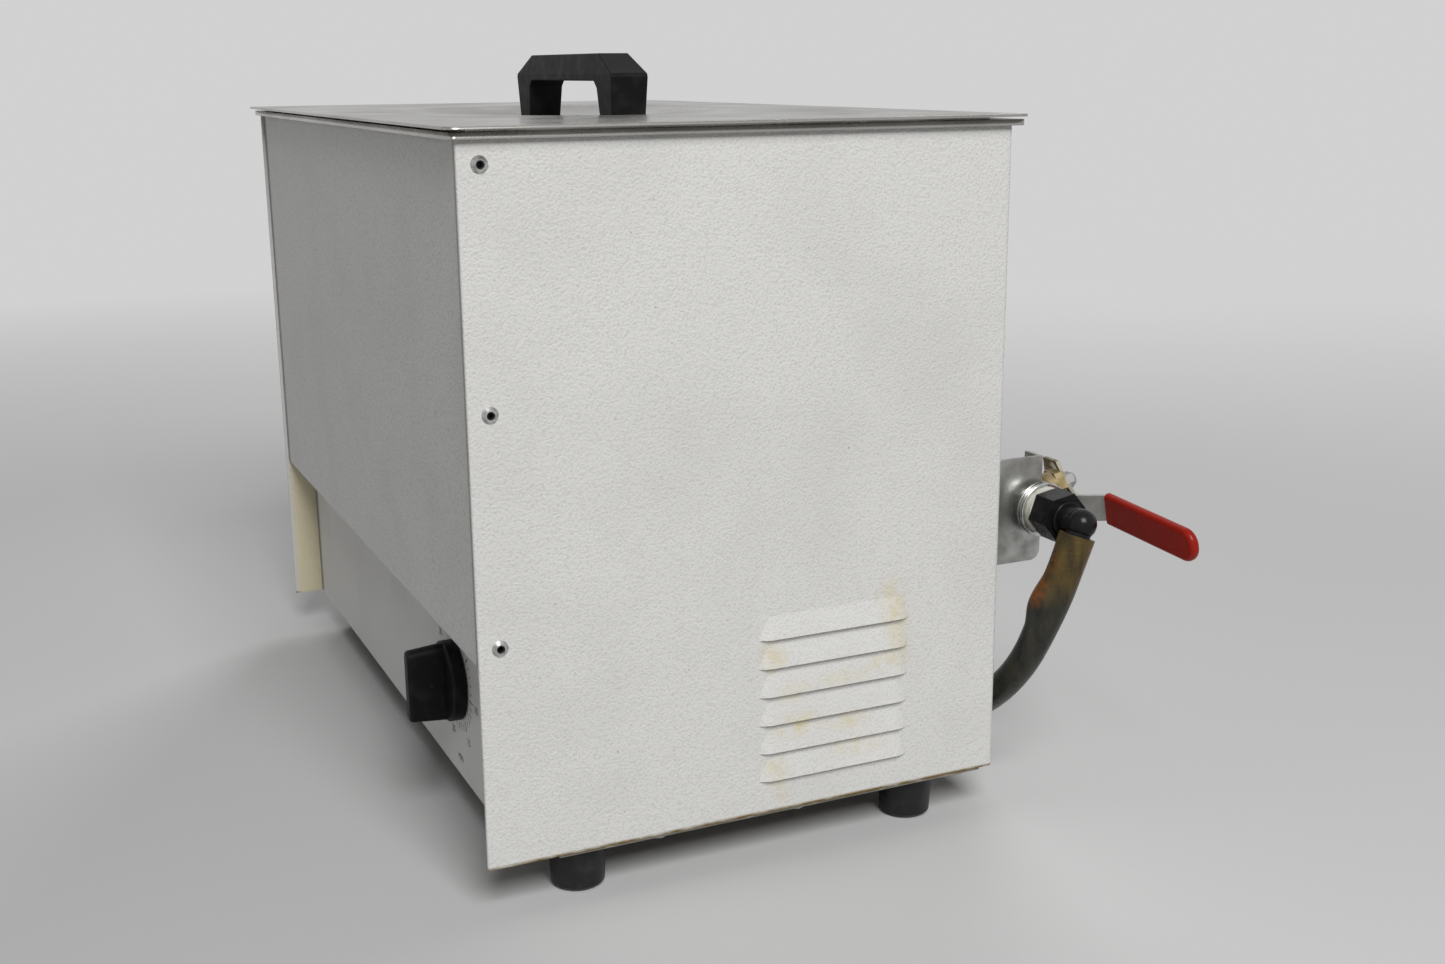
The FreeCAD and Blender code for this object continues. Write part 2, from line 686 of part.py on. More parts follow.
lid_blank = block("lid_blank", (f"-({LID_X})", LID_X), (f"-({LID_Y})", LID_Y), (LID_Z, LID_TOP))
lid_sheet = rounded("lid_sheet", lid_blank, "lid_corner", runs_along("z"))
bead_outer = around_tank("bead_outer", BEAD_CLEAR + BEAD_WIDTH, RIM_TOP, LID_Z)
bead_inner = around_tank("bead_inner", BEAD_CLEAR, f"{RIM_TOP} - 1", LID_Z)
lid_bead = cut("lid_bead", bead_outer, bead_inner)
bowl_zone = block("bowl_zone", ("-dish_half_length", "dish_half_length"),
                  ("-dish_half_width", "dish_half_width"), (f"{FOOT_Z} - 2 * lid_thickness", LID_Z))
lid_bowl = doc.addObject("Part::Common", "lid_bowl")
lid_bowl.Base = dish("bowl_under", LID_Z)
lid_bowl.Tool = bowl_zone
lid_holes = [rod(f"lid_hole_{n}", "z", 2.7, (f"{FOOT_Z} - 5", LID_TOP), (x, 0))
             for n, x in enumerate(HANDLE_SCREWS)]
lid_body = fuse("lid_body", lid_sheet, lid_bead, lid_bowl)
node("lid", cut("lid", lid_body, dish("bowl_hollow", LID_TOP), *lid_holes))


# Lid handle: a moulded bridge with sloping ends, fullest at its shoulders, its feet shaped to the dish
SHOULDER_Z = f"{LID_TOP} + handle_shoulder_rise"
CREST_Z = f"{LID_TOP} + handle_rise"
GAP_Z = f"{LID_TOP} + handle_gap_rise"
UNDER_FOOT = f"{FOOT_Z} - 1"
side_right = [
    ("handle_x + handle_top", CREST_Z),
    ("handle_x + handle_shoulder - 0.9 * handle_bevel", f"{SHOULDER_Z} + 0.42 * handle_bevel"),
    ("handle_x + handle_shoulder - 0.12 * handle_bevel", f"{SHOULDER_Z} - handle_bevel"),
    ("handle_x + handle_foot", UNDER_FOOT),
    ("handle_x + handle_gap_foot", UNDER_FOOT),
    ("handle_x + handle_gap_bend", f"{GAP_Z} - 4.5"),
    ("handle_x + handle_gap_top", GAP_Z),
]
side_left = [(f"2 * handle_x - ({x})", z) for x, z in reversed(side_right)]
handle_side = padded("handle_side", "XZ_Plane", side_right + side_left,
                     "-handle_shoulder_width", "handle_shoulder_width")
end_right = [("handle_top_width / 2", CREST_Z), ("handle_shoulder_width / 2", SHOULDER_Z),
             ("handle_foot_width / 2", UNDER_FOOT)]
end_left = [(f"-{y}", z) for y, z in reversed(end_right)]
handle_end = padded("handle_end", "YZ_Plane", end_right + end_left,
                    "handle_x - handle_shoulder - 5", "handle_x + handle_shoulder + 5")
handle_blank = doc.addObject("Part::Common", "handle_blank")
handle_blank.Base = handle_side
handle_blank.Tool = handle_end
handle_soft = rounded("handle_soft", handle_blank, 0.9, lambda e: not at_level("z", UNDER_FOOT)(e))
handle_fitted = doc.addObject("Part::Common", "handle_fitted")
handle_fitted.Base = handle_soft
handle_fitted.Tool = dish("handle_bed", LID_TOP)
SCREW_DEPTH = 14
handle_threads = [rod(f"handle_thread_{n}", "z", 2.5, (f"{FOOT_Z} - 2", f"{FOOT_Z} + {SCREW_DEPTH}"), (x, 0))
                  for n, x in enumerate(HANDLE_SCREWS)]
node("lid_handle", cut("lid_handle", handle_fitted, *handle_threads))
handle_screws = []
HEAD_RADIUS = 5
for n, x in enumerate(HANDLE_SCREWS):
    seat = f"{dish_level(LID_Z, f'abs({x}) - {HEAD_RADIUS}')} - 0.1"
    head = rod(f"handle_screw_head_{n}", "z", HEAD_RADIUS, (f"{seat} - 3", seat), (x, 0))
    shank = rod(f"handle_screw_shank_{n}", "z", 2.45, (seat, f"{FOOT_Z} + {SCREW_DEPTH} - 1"), (x, 0))
    handle_screws.append(fuse(f"handle_screw_{n}", head, shank))
node("handle_screws", group("handle_screws", handle_screws))


# Timer behind the control panel, its shaft and nut, and the knob, whose bar grip widens towards its skirt
KNOB = ("knob_x", "knob_z")
KNOB_BACK = f"{PANEL_Y} - 1"
SKIRT_FRONT = f"{KNOB_BACK} - knob_skirt"
KNOB_FRONT = f"{SKIRT_FRONT} - knob_bar_depth"
TIMER_FRONT = f"{PANEL_Y} + sheet_metal"
BUSH_FRONT = f"{PANEL_Y} - 7"
BORE_DEPTH = 22
SET_SCREW = (f"{SKIRT_FRONT} - 8", "knob_z")
skirt_blank = rod("skirt_blank", "y", "knob_radius", (SKIRT_FRONT, KNOB_BACK), KNOB)
skirt = bevelled("knob_skirt_form", skirt_blank, 1.5, at_level("y", SKIRT_FRONT))
BAR_ROOT = f"{SKIRT_FRONT} + 2"
bar_outline = [
    (KNOB_FRONT, "knob_z - knob_bar_length / 2"),
    (BAR_ROOT, "knob_z - knob_bar_root / 2"),
    (BAR_ROOT, "knob_z + knob_bar_root / 2"),
    (KNOB_FRONT, "knob_z + knob_bar_length / 2"),
]
bar = padded("knob_bar", "YZ_Plane", bar_outline,
             "knob_x - knob_bar_width / 2", "knob_x + knob_bar_width / 2")
bar_ends = rounded("bar_ends", bar, "knob_bar_round", lambda e: e.BoundBox.YLength > 1)
bar_soft = rounded("bar_soft", bar_ends, 2.2, at_level("y", KNOB_FRONT))
knob_well = rod("knob_well", "y", 9.5, (f"{KNOB_BACK} - 7.4", f"{KNOB_BACK} + 1"), KNOB)
knob_bore = rod("knob_bore", "y", "shaft_radius", (f"{KNOB_BACK} - {BORE_DEPTH}", f"{KNOB_BACK} + 1"), KNOB)
set_screw_hole = rod("set_screw_hole", "x", 1.5, ("knob_x", "knob_x + knob_bar_width"), SET_SCREW)
knob_body = fuse("knob_body", skirt, bar_soft)
node("timer_knob", cut("timer_knob", knob_body, knob_well, knob_bore, set_screw_hole))
node("knob_set_screw", rod("knob_set_screw", "x", 1.48,
                           ("knob_x + shaft_radius", "knob_x + knob_bar_width / 2 - 0.4"), SET_SCREW))
timer_block = block("timer_block", ("knob_x - timer_half", "knob_x + timer_half"),
                    (TIMER_FRONT, f"{TIMER_FRONT} + timer_depth"),
                    ("knob_z - timer_half", "knob_z + timer_half"))
timer_case = rounded("timer_case", timer_block, 3, runs_along("y"))
timer_bush = rod("timer_bush", "y", "bush_radius", (BUSH_FRONT, f"{TIMER_FRONT} + 1"), KNOB)
timer_bore = rod("timer_bore", "y", "shaft_radius + 0.05", (f"{BUSH_FRONT} - 1", f"{TIMER_FRONT} + 20"), KNOB)
node("timer_body", cut("timer_body", fuse("timer_solid", timer_case, timer_bush), timer_bore))
node("timer_shaft", rod("timer_shaft", "y", "shaft_radius",
                        (f"{KNOB_BACK} - {BORE_DEPTH} + 0.5", f"{TIMER_FRONT} + 19.5"), KNOB))
timer_hex = hexagon("timer_hex", "y", 13, (f"{PANEL_Y} - 2.6", PANEL_Y), KNOB)
timer_thread = rod("timer_thread", "y", "bush_radius + 0.02", (f"{PANEL_Y} - 4", f"{PANEL_Y} + 1"), KNOB)
node("timer_nut", cut("timer_nut", timer_hex, timer_thread))


# Transducer stacks bonded under the tank: aluminium head, two ceramic rings, steel tail, one bolt each
STACKS = [(x, y) for x in ("-stack_x", "0", "stack_x") for y in ("-stack_y", "stack_y")]
RING_PITCH = 6
STUD = 4.45
HEAD_LOW = f"{UNDER_TANK} - 25"
RING_LOW = f"{HEAD_LOW} - 2 * {RING_PITCH}"
TAIL_LOW = f"{RING_LOW} - 18"
heads, rings, tails, bolts = [], [], [], []
for n, place in enumerate(STACKS):
    head = taper(f"stack_head_{n}", "z", ("stack_radius * 0.82", "stack_radius"), (HEAD_LOW, UNDER_TANK),
                 place)
    tapped = rod(f"stack_tap_{n}", "z", STUD + 0.05, (f"{HEAD_LOW} - 1", f"{HEAD_LOW} + 16"), place)
    heads.append(cut(f"head_{n}", head, tapped))
    for layer in range(2):
        low = f"{RING_LOW} + {layer} * {RING_PITCH}"
        disc = rod(f"ring_disc_{n}_{layer}", "z", "stack_radius * 0.8", (low, f"{low} + 5.7"), place)
        eye = rod(f"ring_eye_{n}_{layer}", "z", 6.5, (f"{low} - 1", f"{low} + 7"), place)
        rings.append(cut(f"ring_{n}_{layer}", disc, eye))
    tail = rod(f"stack_tail_{n}", "z", "stack_radius * 0.8", (TAIL_LOW, f"{RING_LOW} - 0.3"), place)
    tail_eye = rod(f"stack_tail_eye_{n}", "z", 5, (f"{TAIL_LOW} - 1", RING_LOW), place)
    tails.append(cut(f"tail_{n}", tail, tail_eye))
    cap = rod(f"stack_cap_{n}", "z", 8, (f"{TAIL_LOW} - 8", TAIL_LOW), place)
    stud = rod(f"stack_stud_{n}", "z", STUD, (TAIL_LOW, f"{HEAD_LOW} + 15"), place)
    bolts.append(fuse(f"bolt_{n}", cap, stud))
node("transducer_heads", group("transducer_heads", heads))
node("piezo_rings", group("piezo_rings", rings))
node("tail_masses", group("tail_masses", tails))
node("stack_bolts", group("stack_bolts", bolts))


# Heater pads on the tank's long walls, and the thermostat on its left end
TANK_WALL_Y = "tank_width / 2 + tank_sheet"
TANK_WALL_X = "tank_length / 2 + tank_sheet"
PAD_X = (-190, 190)
PAD_LOW = f"{FLOOR_Z} + 25"
PAD_Z = (PAD_LOW, f"{PAD_LOW} + 80")
PAD_SHEET = 3
node("heater_pad_front", block("heater_pad_front", PAD_X,
                               (f"-({TANK_WALL_Y}) - {PAD_SHEET}", f"-({TANK_WALL_Y})"), PAD_Z))
node("heater_pad_rear", block("heater_pad_rear", PAD_X, (TANK_WALL_Y, f"{TANK_WALL_Y} + {PAD_SHEET}"), PAD_Z))
CAN_Y = 40
CAN_Z = f"{FLOOR_Z} + 60"
CAN_DEPTH = 9
thermostat_can = rod("thermostat_can", "x", 8, (f"-({TANK_WALL_X}) - {CAN_DEPTH}", f"-({TANK_WALL_X})"),
                     (CAN_Y, CAN_Z))
thermostat_ears = block("thermostat_ears", (f"-({TANK_WALL_X}) - 1", f"-({TANK_WALL_X})"),
                        (CAN_Y - 16, CAN_Y + 16), (f"{CAN_Z} - 5", f"{CAN_Z} + 5"))
thermostat_tabs = [block(f"thermostat_tab_{n}",
                         (f"-({TANK_WALL_X}) - {CAN_DEPTH} - 8", f"-({TANK_WALL_X}) - {CAN_DEPTH}"),
                         (y, y + 1), (f"{CAN_Z} - 3", f"{CAN_Z} + 3"))
                   for n, y in enumerate((CAN_Y - 4, CAN_Y + 3))]
node("thermostat", fuse("thermostat", thermostat_can, thermostat_ears, *thermostat_tabs))


# Generator board on standoffs, with its heat sink, transistors, transformer, capacitors and terminals
BOARD_Z = "stand_height + 12"
BOARD_TOP = f"{BOARD_Z} + 1.6"
BOARD_X = (-150, 30)
BOARD_Y = (-80, 50)
board_blank = block("board_blank", BOARD_X, BOARD_Y, (BOARD_Z, BOARD_TOP))
board_holes = [rod(f"board_hole_{n}", "z", BOARD_SCREW_HOLE, (f"{BOARD_Z} - 1", f"{BOARD_TOP} + 1"), place)
               for n, place in enumerate(STANDOFFS)]
node("generator_board", cut("generator_board", board_blank, *board_holes))
posts = []
board_screws = []
for n, place in enumerate(STANDOFFS):
    post = hexagon(f"post_hex_{n}", "z", 6, ("stand_height", BOARD_Z), place)
    eye = rod(f"post_eye_{n}", "z", BOARD_SCREW_HOLE, ("stand_height - 1", f"{BOARD_Z} + 1"), place)
    posts.append(cut(f"post_{n}", post, eye))
    head = rod(f"board_screw_head_{n}", "z", 2.9, (BOARD_TOP, f"{BOARD_TOP} + 2.2"), place)
    shank = rod(f"board_screw_shank_{n}", "z", BOARD_SCREW_HOLE - 0.1, (f"{BOARD_TOP} - 9", BOARD_TOP), place)
    board_screws.append(fuse(f"board_screw_{n}", head, shank))
node("board_standoffs", group("board_standoffs", posts))
node("board_screws", group("board_screws", board_screws))

FINS = 7
FIN = 2.4
FIN_PITCH = 9.6
SINK_LEFT = -125
SINK_Y = (-76, -60, -54)
SINK_Z = (BOARD_TOP, f"{BOARD_TOP} + 55")
sink_width = (FINS - 1) * FIN_PITCH + FIN
sink_parts = [block("sink_base", (SINK_LEFT, SINK_LEFT + sink_width), SINK_Y[1:], SINK_Z)]
for n in range(FINS):
    x = SINK_LEFT + n * FIN_PITCH
    sink_parts.append(block(f"sink_fin_{n}", (x, x + FIN), SINK_Y[:2], SINK_Z))
node("heat_sink", fuse("heat_sink", *sink_parts))

CASE_WIDTH = 16
LEG_PITCH = 5
BESIDE_SINK = (-118, -90)
transistors = []
for n, x in enumerate(BESIDE_SINK):
    case = block(f"transistor_case_{n}", (x, x + CASE_WIDTH), (SINK_Y[2], SINK_Y[2] + 5),
                 (f"{BOARD_TOP} + 14", f"{BOARD_TOP} + 34"))
    legs = []
    for k in range(3):
        leg_x = x + CASE_WIDTH / 2 + LEG_PITCH * (k - 1)
        legs.append(block(f"transistor_leg_{n}_{k}", (leg_x - 0.5, leg_x + 0.5),
                          (SINK_Y[2] + 2, SINK_Y[2] + 3),
                          (BOARD_TOP, f"{BOARD_TOP} + 15")))
    transistors.append(fuse(f"transistor_{n}", case, *legs))
node("power_transistors", group("power_transistors", transistors))

# The transformer's core is a frame with two windows, and its coil fills them and stands out at both faces
CORE_X = -32
CORE_Y = (-34, -12)
COIL_STANDS_OUT = 8
WINDOWS = (-18, 8)
COIL_Z = (f"{BOARD_TOP} + 11", f"{BOARD_TOP} + 37")
core_frame = block("core_frame", (CORE_X - 28, CORE_X + 28), CORE_Y, (BOARD_TOP, f"{BOARD_TOP} + 48"))
core_windows = [block(f"core_window_{n}", (CORE_X + x, CORE_X + x + 10), (CORE_Y[0] - 1, CORE_Y[1] + 1),
                      (f"{BOARD_TOP} + 10", f"{BOARD_TOP} + 38")) for n, x in enumerate(WINDOWS)]
coil_x = (CORE_X + WINDOWS[0] + 1, CORE_X - WINDOWS[0] - 1)
coil = [block("coil_front", coil_x, (CORE_Y[0] - COIL_STANDS_OUT, CORE_Y[0]), COIL_Z),
        block("coil_back", coil_x, (CORE_Y[1], CORE_Y[1] + COIL_STANDS_OUT), COIL_Z)]
COIL_Y = (CORE_Y[0] - COIL_STANDS_OUT, CORE_Y[1] + COIL_STANDS_OUT)
coil += [block(f"coil_side_{n}", (x, x + 9), COIL_Y, COIL_Z)
         for n, x in enumerate((coil_x[0], coil_x[1] - 9))]
node("output_transformer", fuse("output_transformer", cut("core", core_frame, *core_windows), *coil))

CAN_TOP = f"{BOARD_TOP} + 36"
capacitors = []
for n, x in enumerate(BESIDE_SINK):
    can = rod(f"capacitor_can_{n}", "z", 11, (BOARD_TOP, CAN_TOP), (x, 28))
    capacitors.append(rounded(f"capacitor_{n}", can, 1.5, at_level("z", CAN_TOP)))
node("filter_capacitors", group("filter_capacitors", capacitors))

TERMINALS = 5
TERMINAL_PITCH = 11
WELL_Y = 31
BLOCK_HEIGHT = 16
WELL_DEPTH = 10


def well(n):
    """The place along the terminal block of one of its wire wells."""
    return -50 + TERMINAL_PITCH * n


terminal_base = block("terminal_base", (well(0) - 6, well(TERMINALS - 1) + 6), (WELL_Y - 9, WELL_Y + 9),
                      (BOARD_TOP, f"{BOARD_TOP} + {BLOCK_HEIGHT}"))
terminal_wells = [rod(f"terminal_well_{n}", "z", 3, (f"{BOARD_TOP} + {BLOCK_HEIGHT} - {WELL_DEPTH}",
                                                     f"{BOARD_TOP} + {BLOCK_HEIGHT} + 1"), (well(n), WELL_Y))
                  for n in range(TERMINALS)]
node("terminal_block", cut("terminal_block", terminal_base, *terminal_wells))


# Internal leads: mains, timer, transducers and heater, each run to its own terminal
LEAD = 1.5
BLOCK_TOP = amount_of(f"{BOARD_TOP} + {BLOCK_HEIGHT}")
LEAD_END = BLOCK_TOP - WELL_DEPTH + 2
CRUISE = BLOCK_TOP + 32


def lead(name, *points):
    """One insulated lead that rises from its terminal and runs through the given points."""
    solid, _, _ = tube([Vector(*point) for point in points], LEAD)
    obj = doc.addObject("Part::Feature", name)
    obj.Shape = solid
    return obj


back_of_timer = amount_of(f"{TIMER_FRONT} + timer_depth")
inlet_back = amount_of(f"{BACK_Y} - 26")
stack_foot = amount_of(f"{TAIL_LOW} - 8")
heater_foot = amount_of(PAD_LOW)
heater_y = amount_of(TANK_WALL_Y) + LEAD + 0.3
side_y = amount_of("stack_y")
inlet_x, inlet_z = amount_of("inlet_x"), amount_of("inlet_z")
knob_x, knob_z = amount_of("knob_x"), amount_of("knob_z")
leads = [
    lead("mains_lead", (well(0), WELL_Y, LEAD_END), (well(0), WELL_Y, BLOCK_TOP + 14),
         (well(0) - 14, WELL_Y + 14, CRUISE), (-100, 66, CRUISE), (-150, 90, inlet_z),
         (inlet_x, inlet_back - 22, inlet_z + 2), (inlet_x, inlet_back, inlet_z + 2)),
    lead("timer_lead", (well(4), WELL_Y, LEAD_END), (well(4), WELL_Y, BLOCK_TOP + 14),
         (well(4) + 18, WELL_Y - 8, CRUISE), (60, -8, CRUISE), (110, -44, knob_z),
         (knob_x, back_of_timer + 24, knob_z), (knob_x, back_of_timer, knob_z)),
    lead("transducer_lead", (well(3), WELL_Y, LEAD_END), (well(3), WELL_Y, BLOCK_TOP + 18),
         (well(3) + 6, WELL_Y + 10, BLOCK_TOP + 48), (0, side_y, stack_foot - 22), (0, side_y, stack_foot)),
    lead("heater_lead", (well(1), WELL_Y, LEAD_END), (well(1), WELL_Y, BLOCK_TOP + 20),
         (well(1), WELL_Y + 26, BLOCK_TOP + 58), (well(1), heater_y - 20, heater_foot - 62),
         (well(1), heater_y, heater_foot - 26), (well(1), heater_y, heater_foot)),
]
node("harness_leads", group("harness_leads", leads))


# Power inlet in the back wall: a recessed three-pin socket with its pins and two screws
inlet_plate = block("inlet_plate", ("inlet_x - 25", "inlet_x + 25"), (BACK_Y, f"{BACK_Y} + 3"),
                    ("inlet_z - 14", "inlet_z + 14"))
inlet_face = rounded("inlet_face", inlet_plate, 4, runs_along("y"))
inlet_tub = block("inlet_tub", ("inlet_x - inlet_half_width", "inlet_x + inlet_half_width"),
                  (f"{BACK_Y} - 18", f"{BACK_Y} + 1"),
                  ("inlet_z - inlet_half_height", "inlet_z + inlet_half_height"))
inlet_socket = block("inlet_socket", ("inlet_x - 12", "inlet_x + 12"), (f"{BACK_Y} - 15", f"{BACK_Y} + 4"),
                     ("inlet_z - 8", "inlet_z + 8"))
inlet_well = bevelled("inlet_well", inlet_socket, 5, both(runs_along("y"), at_level("z", "inlet_z + 8")))
INLET_PINS = [("inlet_x - 7", "inlet_z - 2"), ("inlet_x", "inlet_z + 2"), ("inlet_x + 7", "inlet_z - 2")]
inlet_cuts = [inlet_well]
inlet_pins = []
for n, (x, z) in enumerate(INLET_PINS):
    pin_x = (f"{x} - 1", f"{x} + 1")
    pin_z = (f"{z} - 2", f"{z} + 2")
    inlet_cuts.append(block(f"inlet_pin_slot_{n}", pin_x, (f"{BACK_Y} - 19", f"{BACK_Y} - 14"), pin_z))
    inlet_pins.append(block(f"inlet_pin_{n}", pin_x, (f"{BACK_Y} - 26", f"{BACK_Y} - 2"), pin_z))
inlet_screws = []
for side in (-1, 1):
    place = (f"inlet_x + {side} * inlet_screw_spread", "inlet_z")
    inlet_cuts.append(rod(f"inlet_screw_way_{side + 1}", "y", "inlet_screw_hole",
                          (f"{BACK_Y} - 1", f"{BACK_Y} + 4"), place))
    head = rod(f"inlet_screw_head_{side + 1}", "y", 3, (f"{BACK_Y} + 3", f"{BACK_Y} + 5"), place)
    shank = rod(f"inlet_screw_shank_{side + 1}", "y", "inlet_screw_hole - 0.05",
                (f"{BACK_Y} - 7", f"{BACK_Y} + 3"), place)
    inlet_screws.append(fuse(f"inlet_screw_{side + 1}", head, shank))
node("power_inlet", cut("power_inlet", fuse("inlet_body", inlet_face, inlet_tub), *inlet_cuts))
node("inlet_pins", group("inlet_pins", inlet_pins))
node("inlet_screws", group("inlet_screws", inlet_screws))


# Drain line: spud through the tank floor, elbow, nipple through the back wall, elbow, nipple to the valve
DRAIN = ("drain_x", "drain_y")
FITTING = "pipe_radius + 4"
ELBOW_REACH = 24
THREAD_DEPTH = 11
PIPE_SEAT = 13.5
spud = fuse("spud_body",
            rod("spud_flange", "z", 17.5, (FLOOR_Z, f"{FLOOR_Z} + 2.5"), DRAIN),
            rod("spud_stem", "z", "pipe_radius - 0.1", ("valve_z + 14", FLOOR_Z), DRAIN))
spud_bore = rod("spud_bore", "z", "pipe_bore", ("valve_z", f"{FLOOR_Z} + 5"), DRAIN)
node("drain_spud", cut("drain_spud", spud, spud_bore))
gasket_disc = rod("gasket_disc", "z", 18, (f"{UNDER_TANK} - 2", UNDER_TANK), DRAIN)
gasket_eye = rod("gasket_eye", "z", "pipe_radius", (f"{UNDER_TANK} - 3", f"{UNDER_TANK} + 1"), DRAIN)
node("drain_gasket", cut("drain_gasket", gasket_disc, gasket_eye))
nut_hex = hexagon("nut_hex", "z", 34, (f"{UNDER_TANK} - 10", f"{UNDER_TANK} - 2"), DRAIN)
nut_eye = rod("nut_eye", "z", "pipe_radius", (f"{UNDER_TANK} - 11", f"{UNDER_TANK} - 1"), DRAIN)
node("drain_nut", cut("drain_nut", nut_hex, nut_eye))


def elbow(name, corner_y, legs):
    """A pipe elbow of two short legs and a ball corner, with threaded mouths.

    Each leg is its axis, the direction it leaves along it, its corner there and its other two coordinates.
    """
    turn = ("drain_x", corner_y, "valve_z")
    solids = [sphere(f"{name}_corner", FITTING, turn)]
    bores = [sphere(f"{name}_turn", "pipe_bore", turn)]
    for axis, away, corner, centre in legs:
        mouth = f"{corner} + {away} * {ELBOW_REACH}"
        spans = [(corner, mouth), (f"{mouth} - {away} * {THREAD_DEPTH}", f"{mouth} + {away} * 1")]
        way, thread = [span if away > 0 else span[::-1] for span in spans]
        solids.append(rod(f"{name}_{axis}_leg", axis, FITTING, way, centre))
        bores.append(rod(f"{name}_{axis}_bore", axis, "pipe_bore", way, centre))
        bores.append(rod(f"{name}_{axis}_mouth", axis, "pipe_radius", thread, centre))
    return cut(name, fuse(f"{name}_body", *solids), *bores)


ALONG_Y = ("drain_x", "valve_z")
ON_VALVE = ("valve_y", "valve_z")
inner_legs = [("z", 1, "valve_z", DRAIN), ("y", 1, "drain_y", ALONG_Y)]
outer_legs = [("y", -1, "valve_y", ALONG_Y), ("x", 1, "drain_x", ON_VALVE)]
node("inner_elbow", elbow("inner_elbow", "drain_y", inner_legs))
node("outer_elbow", elbow("outer_elbow", "valve_y", outer_legs))


def nipple(name, axis, span, centre):
    pipe = rod(f"{name}_pipe", axis, "pipe_radius - 0.1", span, centre)
    bore = rod(f"{name}_bore", axis, "pipe_bore", (f"{span[0]} - 1", f"{span[1]} + 1"), centre)
    return cut(name, pipe, bore)


node("wall_nipple", nipple("wall_nipple", "y", (f"drain_y + {PIPE_SEAT}", f"valve_y - {PIPE_SEAT}"), ALONG_Y))
node("valve_nipple", nipple("valve_nipple", "x", (f"drain_x + {PIPE_SEAT}", "valve_x - 17.5"), ON_VALVE))


# Ball valve, modelled about its ball: pipe along x, stem along y. It sits turned about the pipe.
def in_valve(label, obj):
    swung(obj, "valve_x", "valve_y", "valve_z", Vector(1, 0, 0), "valve_tilt")
    return node(label, obj)


ON_PIPE = (0, 0)
valve_solid = fuse("valve_solid",
                   rod("valve_barrel", "x", 17, (-18, 14), ON_PIPE),
                   hexagon("valve_inlet_hex", "x", 29, (-30, -16), ON_PIPE),
                   rod("valve_boss", "y", 9.5, (0, 28), (0, 0)))
in_valve("valve_body", cut("valve_body", valve_solid,
                           rod("valve_chamber", "x", 14, (-13, 15), ON_PIPE),
                           rod("valve_way", "x", "ball_bore", (-31, 0), ON_PIPE),
                           rod("valve_inlet", "x", "pipe_radius", (-31, -17), ON_PIPE),
                           rod("valve_stem_way", "y", 4.55, (0, 29), (0, 0))))
end_solid = fuse("end_solid",
                 rod("end_plug", "x", 13.9, (11, 14.5), ON_PIPE),
                 rod("end_neck", "x", 13.2, (14, 28), ON_PIPE),
                 rounded("end_ring", rod("end_ring_blank", "x", 17.5, (27, 33), ON_PIPE), 1,
                         lambda e: at_level("x", 33)(e) or at_level("x", 27)(e)))
GROOVE = (29.4, 30.8)
end_groove = cut("end_groove", rod("end_groove_outer", "x", 19, GROOVE, ON_PIPE),
                 rod("end_groove_inner", "x", 16.6, GROOVE, ON_PIPE))
in_valve("valve_end", cut("valve_end", end_solid, end_groove,
                          rod("end_way", "x", "ball_bore", (10, 34), ON_PIPE),
                          rod("end_thread", "x", "pipe_radius", (17, 34), ON_PIPE)))
ball_solid = sphere("ball_solid", "ball_radius", (0, 0, 0))
ball_solid.Placement = FreeCAD.Placement(Vector(), AXIS_TURN["x"])
in_valve("valve_ball", cut("valve_ball", ball_solid,
                           rod("ball_way", "x", "ball_bore", (-15, 15), ON_PIPE),
                           block("ball_slot", (-5.2, 5.2), (8.6, 14), (-2, 2))))
seat_rings = []
for name, span in (("inlet", (-12.9, -8)), ("outlet", (8, 10.9))):
    disc = rod(f"seat_disc_{name}", "x", 13.9, span, ON_PIPE)
    cup = sphere(f"seat_cup_{name}", "ball_radius + 0.05", (0, 0, 0))
    way = rod(f"seat_way_{name}", "x", "ball_bore", (-20, 20), ON_PIPE)
    seat_rings.append(cut(f"seat_{name}", disc, cup, way))
in_valve("ball_seats", group("ball_seats", seat_rings))
in_valve("valve_stem", fuse("valve_stem",
                            block("stem_tang", (-4.4, 4.4), (8.8, 11.9), (-1.8, 1.8)),
                            rod("stem_body", "y", 4.5, (11.8, "lever_seat"), (0, 0)),
                            rod("stem_thread", "y", 3, ("lever_seat", "lever_seat + 10"), (0, 0))))
in_valve("packing_nut", cut("packing_nut", hexagon("packing_hex", "y", 19, (28, 34), (0, 0)),
                            rod("packing_eye", "y", 4.55, (27, 35), (0, 0))))


# Lever: a stamped strip with a tall ear on the stem, jogged outwards to a vinyl grip below the stem's line
SEAT = "lever_seat"
ARM = "lever_seat + lever_jog"
GRIP_END = "grip_tip - grip_wall"


def arm_edge(x, side, extra=0):
    """A point on the arm's upper or lower edge, which slopes away from the stem."""
    return (x, f"-lever_drop - lever_slope * (({x}) - grip_start) + {side} * (lever_width / 2 + {extra})")


EAR_TOP = 14
ear_outline = [
    (-17, EAR_TOP), (-3, EAR_TOP), (6, 0), (14, "-lever_drop + lever_width / 2"),
    arm_edge("grip_start", 1), arm_edge(GRIP_END, 1), arm_edge(GRIP_END, -1), arm_edge("grip_start", -1),
    (14, "-lever_drop - lever_width / 2"), (-6, -17), (-17, -5),
]
lever_outline = padded("lever_outline", "XZ_Plane", ear_outline, 30, 60)
bend_profile = [
    (-20, SEAT), (13, SEAT), (28, ARM), ("grip_tip", ARM), ("grip_tip", f"{ARM} + lever_sheet"),
    (27, f"{ARM} + lever_sheet"), (12, f"{SEAT} + lever_sheet"), (-20, f"{SEAT} + lever_sheet"),
]
lever_bend = padded("lever_bend", "XY_Plane", bend_profile, -45, 30)
lever_strip = doc.addObject("Part::Common", "lever_strip")
lever_strip.Base = lever_outline
